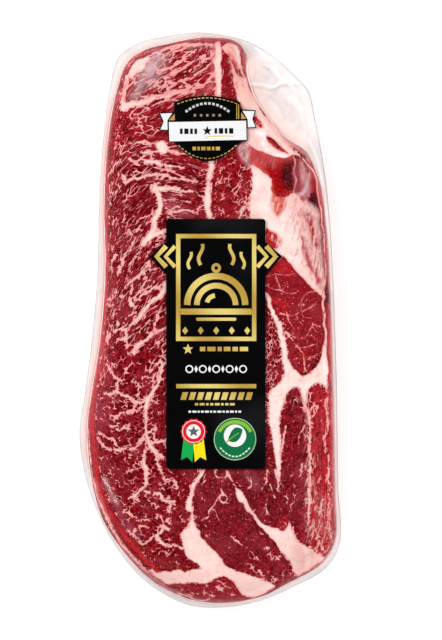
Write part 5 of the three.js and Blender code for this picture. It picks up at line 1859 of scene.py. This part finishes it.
def add_world():
    """Soft white surroundings, darker overhead so that the flat film doesn't wash out."""
    world = bpy.data.worlds.new("studio_world")
    bpy.context.scene.world = world
    world.use_nodes = True
    nodes, links = world.node_tree.nodes, world.node_tree.links
    nodes.clear()
    place = nodes.new("ShaderNodeTexCoord")
    parts = nodes.new("ShaderNodeSeparateXYZ")
    ramp = nodes.new("ShaderNodeMapRange")
    ramp.interpolation_type = "SMOOTHSTEP"
    background = nodes.new("ShaderNodeBackground")
    output = nodes.new("ShaderNodeOutputWorld")
    for socket, value in zip(("From Min", "From Max", "To Min", "To Max"), WORLD_SPAN + WORLD_STRENGTH):
        ramp.inputs[socket].default_value = value
    links.new(place.outputs["Generated"], parts.inputs[0])
    links.new(parts.outputs["Z"], ramp.inputs["Value"])
    links.new(ramp.outputs[0], background.inputs["Strength"])
    links.new(background.outputs[0], output.inputs[0])


def add_floor():
    corners = [(x * FLOOR_HALF, y * FLOOR_HALF, FLOOR_Z) for x, y in ((-1, -1), (1, -1), (1, 1), (-1, 1))]
    floor = new_mesh("floor", corners, [(0, 1, 2, 3)])
    g = Graph("pale_floor")
    floor.data.materials.append(g.finish(g.node("BsdfDiffuse", Color=(0.97, 0.97, 0.97, 1))))


def dress(piece, material, slot_name, *nodes):
    piece.data.materials.append(material)
    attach(piece, "root")
    if nodes:
        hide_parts(*nodes)


def build_pack():
    slab = beef_slab()
    dress(slab, raw_beef(), "packed_beef", "vacuum_pack")
    dress(fine_marbling(), fat_fleck(), "packed_beef")
    dress(film_bag(), clear_film(), "packed_beef", "vacuum_pack")


def print_on(label_slot, name, material, shapes, layer=1):
    """Shapes of one ink, laid on the label; a higher layer lies over a lower one."""
    piece = draped(name, shapes, LABEL_THICKNESS + layer * PRINT_THICKNESS, PRINT_THICKNESS)
    dress(piece, material, label_slot)


def row_of_bars(left, right, middle, height, lengths, gap, slant=0.0):
    """Bars of the given lengths in turn, from left to right."""
    shapes, x, k = [], left, 0
    while x + lengths[k % len(lengths)] <= right + 0.01:
        end = x + lengths[k % len(lengths)]
        shapes.append([[(x + slant, middle - height / 2), (end + slant, middle - height / 2),
                        (end - slant, middle + height / 2), (x - slant, middle + height / 2)]])
        x, k = end + gap, k + 1
    return shapes


def bars_along(line, length, width, pitch):
    """Short bars laid along a line, like stitches."""
    line = np.asarray(line, float)
    marks = np.concatenate([[0], np.cumsum(np.linalg.norm(np.diff(line, axis=0), axis=1))])
    shapes = []
    for mark in np.arange(pitch / 2, marks[-1], pitch):
        ends = [np.array([np.interp(mark + shift, marks, line[:, k]) for k in (0, 1)])
                for shift in (-length / 2, length / 2)]
        shapes.append(band_shape(ends, width))
    return shapes


def diamond_loop(middle, half_width, half_height):
    x, y = middle
    return [(x - half_width, y), (x, y - half_height), (x + half_width, y), (x, y + half_height)]


def ring_shape(middle, outer, inner):
    return [disc_loop(middle, outer), disc_loop(middle, inner)]


def half_ring(middle, radius, width, start=180, end=360, count=28):
    """Part of a ring, between two angles in degrees that run clockwise on the picture from the right."""
    x, y = middle
    angles = np.radians(np.linspace(start, end, count))
    return band_shape([(x + radius * math.cos(a), y + radius * math.sin(a)) for a in angles], width)


DOME = (216.2, 305.0)
ROSETTE = (193.6, 431.5)
SEAL = (235.0, 439.0)
TALL_SLOT, BADGE_SLOT = "tall_label_print", "badge_label_print"
# Steam on each side of the dome: reach from its middle, sway, foot and rise over its base, width.
STEAM = ((15.5, 2.2, 40, 21, 3.4), (26.5, 1.8, 36, 17, 3.0))
# Chevrons in each side tab: reach from the dome's middle, width.
CHEVRONS = ((59.5, 5.0), (50.6, 4.2))


def dome_shapes():
    """A serving dome on its tray with rising steam, between chevrons in the side tabs."""
    x, y = DOME
    shapes = [half_ring(DOME, 29.0, 6.4), half_ring(DOME, 19.4, 5.6), half_ring(DOME, 9.6, 4.6, 196, 262, 10)]
    shapes.append([box_loop(x - 36.5, y + 3.6, x + 36.5, y + 9.6, 1.6)])
    shapes.append([box_loop(x - 20, y + 12.6, x + 20, y + 15.8, 1.0)])
    shapes.append(ring_shape((x, y - 37.0), 4.8, 1.9))
    shapes += [[diamond_loop((x + k * 15.5, y + 25.6), 3.0, 4.0)] for k in (-2, -1, 0, 1, 2)]
    for side in (-1, 1):
        for reach, sway, foot, rise, width in STEAM:
            line = [(x + side * (reach + sway * math.sin(t * 5.4)), y - foot - rise * t)
                    for t in np.linspace(0, 1, 9)]
            shapes.append(band_shape(line, width))
        for reach, width in CHEVRONS:
            tip, tail = x + side * reach, x + side * reach - side * 9.5
            shapes.append(band_shape([(tail, 246.2), (tip, TAB["tip"]), (tail, 267.0)], width))
    return shapes


def tall_print(gold):
    """Gold frame, dome, rows of bars and a star, and white rings, diamonds and bars."""
    shapes = [frame_shape(176.1, 234, 256.3, 341, 4.3), [box_loop(176.2, 384, 256.2, 388.2)]]
    shapes += dome_shapes()
    shapes += row_of_bars(200, 249.5, 349, 4.4, (5.4, 8.2, 4.2, 6.6), 2.0)
    shapes += row_of_bars(181.5, 252, 396, 7.6, (5.6,), 2.5, 1.1)
    shapes += row_of_bars(195, 238, 404.2, 2.4, (3.2, 4.8, 2.6), 1.5)
    shapes.append([star_loop((188.0, 349.2), 5.6, 2.4)])
    print_on(TALL_SLOT, "gold_print", gold, shapes)
    rings = [ring_shape((189.4 + 13.4 * k, 369), 4.0, 2.7) for k in range(5)]
    crosses = [[diamond_loop((196.1 + 13.4 * k, 369), 1.7, 3.6)] for k in range(4)]
    white_row = row_of_bars(188.5, 243.5, 411.6, 2.0, (2.6, 4.0, 2.0), 1.3)
    print_on(TALL_SLOT, "white_print", printed("white_ink"), rings + crosses + white_row)


def tail_loop(side, overlap):
    """A ribbon's tail that hangs from the rosette, to the left for side -1 and to the right for 1."""
    x, y = ROSETTE
    return [(x + side * across, y + down)
            for across, down in ((9.5, 2), (-overlap, 4), (1.2, 30.5), (6.6, 25.4), (12.6, 28.6))]


def scallop_loop(middle, radius, wave, waves, count):
    loop = []
    for angle in np.linspace(0, 2 * math.pi, count, endpoint=False):
        reach = radius + wave * math.cos(waves * angle)
        loop.append((middle[0] + reach * math.cos(angle), middle[1] + reach * math.sin(angle)))
    return loop


def rosette_print(white):
    """A rosette with a star and two tails."""
    print_on(TALL_SLOT, "green_tail", printed("tail_green"), [[tail_loop(-1, 1.5)]])
    print_on(TALL_SLOT, "yellow_tail", printed("tail_yellow"), [[tail_loop(1, 1.0)]], 2)
    scallops = scallop_loop(ROSETTE, 12.6, 0.55, 14, 84)
    print_on(TALL_SLOT, "rosette_disc", printed("rosette_red"), [[scallops]], 3)
    rings = [ring_shape(ROSETTE, 11.3, 10.7), [disc_loop(ROSETTE, 7.2)]]
    print_on(TALL_SLOT, "rosette_white", white, rings, 4)
    print_on(TALL_SLOT, "rosette_star", printed("star_grey"), [[star_loop(ROSETTE, 5.8, 2.6)]], 5)


def seal_print(white):
    """A round green seal with a leaf."""
    green, leaf_green = printed("seal_green"), printed("leaf_green")
    x, y = SEAL
    print_on(TALL_SLOT, "seal_rim", printed("rim_green"), [[disc_loop(SEAL, 21.2, 48)]])
    print_on(TALL_SLOT, "seal_disc", green, [[disc_loop(SEAL, 20.3, 48)]], 2)
    print_on(TALL_SLOT, "seal_crescent", leaf_green, [half_ring(SEAL, 17.2, 3.6, 205, 335)], 3)
    dashes = bars_along(arc_points((x - 15.2, y + 8), (x, y + 17.6), (x + 15.2, y + 8), 14), 2.4, 1.3, 3.7)
    print_on(TALL_SLOT, "seal_white", white, [[disc_loop((x, y - 3.4), 11.2)]] + dashes, 3)
    stem, tip = (x - 7.2, y + 1.6), (x + 7.6, y - 9.4)
    upper, lower = arc_points(stem, (x - 2.4, y - 10.6), tip, 8), arc_points(tip, (x + 4.4, y + 1.8), stem, 8)
    print_on(TALL_SLOT, "seal_leaf", green, [[np.vstack([upper[:-1], lower[:-1]])]], 4)
    vein = [(x - 9.4, y + 3.6), (x - 3.0, y - 1.4), (x + 3.6, y - 6.2)]
    print_on(TALL_SLOT, "leaf_vein", leaf_green, [band_shape(vein, 0.9)], 5)


def badge_print(gold):
    """Stitches, edge bars, stars and dashes on the black, and the lower row of bars."""
    left, right, shoulder, hip = BADGE["left"], BADGE["right"], BADGE["shoulder"], BADGE["hip"]
    middle = (left + right) / 2
    top, bottom = (middle, BADGE["top"] + 2.2), (middle, BADGE["bottom"] - 2.6)
    over = arc_points((left + 2.4, shoulder + 1.8), top, (right - 2.4, shoulder + 1.8), 14)
    under = arc_points((right - 3.2, hip + 2.6), bottom, (left + 3.2, hip + 2.6), 18)
    stitches = bars_along(over, 2.6, 0.8, 4.2) + bars_along(under, 2.6, 0.8, 4.2)
    edges = [[box_loop(x, 104.5, x + 0.8, 119.0)] for x in (236.4, 238.3)]
    small_row = row_of_bars(192.5, 224, 148.6, 3.6, (3.6, 2.4, 4.2), 1.4)
    print_on(BADGE_SLOT, "badge_gold", gold, stitches + edges + small_row)
    stars = [[star_loop((middle + 6.2 * k, 115.4), 1.9, 0.9)] for k in (-2, -1, 0, 1, 2)]
    print_on(BADGE_SLOT, "badge_stars", printed("star_bronze"), stars)
    arc = arc_points((185, 112.4), (middle, 103.4), (230, 112.4), 12)
    print_on(BADGE_SLOT, "badge_dashes", printed("badge_ink"), bars_along(arc, 2.6, 2.4, 4.1))


RIBBON_FOLDS = [[[(168.9, 120.4), (174.6, 113.8), (174.8, 120.3)]],
                [[(246.2, 118.9), (241.2, 112.2), (241.0, 119.2)]]]
RIBBON_WHITE = [
    [[(168.8, 122.2), (246.1, 120.8), (246.5, 139.9), (169.5, 141.5)]],
    [[(160.5, 129.6), (163.8, 121.7), (160.3, 113.7), (172.4, 113.2), (167.4, 120.4), (167.6, 129.9)]],
    [[(254.7, 111.3), (252.3, 119.1), (255.2, 127.0), (247.9, 127.4), (247.7, 119.6), (242.6, 111.0)]],
]


def ribbon_print():
    """The ribbon across the badge: a banner with two tails, with bars on both sides of a star."""
    print_on(BADGE_SLOT, "ribbon_folds", printed("fold_gold"), RIBBON_FOLDS)
    print_on(BADGE_SLOT, "ribbon_white", printed("ribbon_ink", 0.4, 0.12), RIBBON_WHITE)
    middle = (BADGE["left"] + BADGE["right"]) / 2
    bars = row_of_bars(180, 200.6, 131.4, 5.4, (2.6, 4.2, 2.6), 1.7)
    bars += row_of_bars(214.6, 236, 131.0, 5.4, (2.6, 4.2), 1.7)
    star = [[star_loop((middle, 131.0), 5.0, 2.1)]]
    print_on(BADGE_SLOT, "ribbon_bars", printed("ribbon_black"), bars + star, 2)
    swash = arc_points((204, 137.6), (218, 136.2), (233, 136.4), 8)
    print_on(BADGE_SLOT, "ribbon_swash", printed("swash_yellow"), [band_shape(swash, 0.9)], 2)


def build_labels():
    black, gold = satin_black(), gold_foil()
    tall = draped("tall_label_sheet", [[tall_label_loop()]], LABEL_THICKNESS, LABEL_THICKNESS)
    dress(tall, black, TALL_SLOT, "tall_label")
    badge = draped("badge_label_sheet", [[badge_label_loop()]], LABEL_THICKNESS, LABEL_THICKNESS)
    dress(badge, black, BADGE_SLOT, "badge_label")
    tall_print(gold)
    white = printed("seal_white")
    rosette_print(white)
    seal_print(white)
    badge_print(gold)
    ribbon_print()


add_camera()
add_world()
add_area_light("key_light", (-1.5, 1.0, 1.4), 1.2, 62, False)
add_area_light("fill_light", (1.6, -0.7, 1.3), 1.4, 41, False)
add_area_light("glint_light", (-0.9, 1.3, 1.9), 0.22, 1.6, True)
add_floor()
build_pack()
build_labels()
bpy.context.scene.view_settings.view_transform = "Standard"
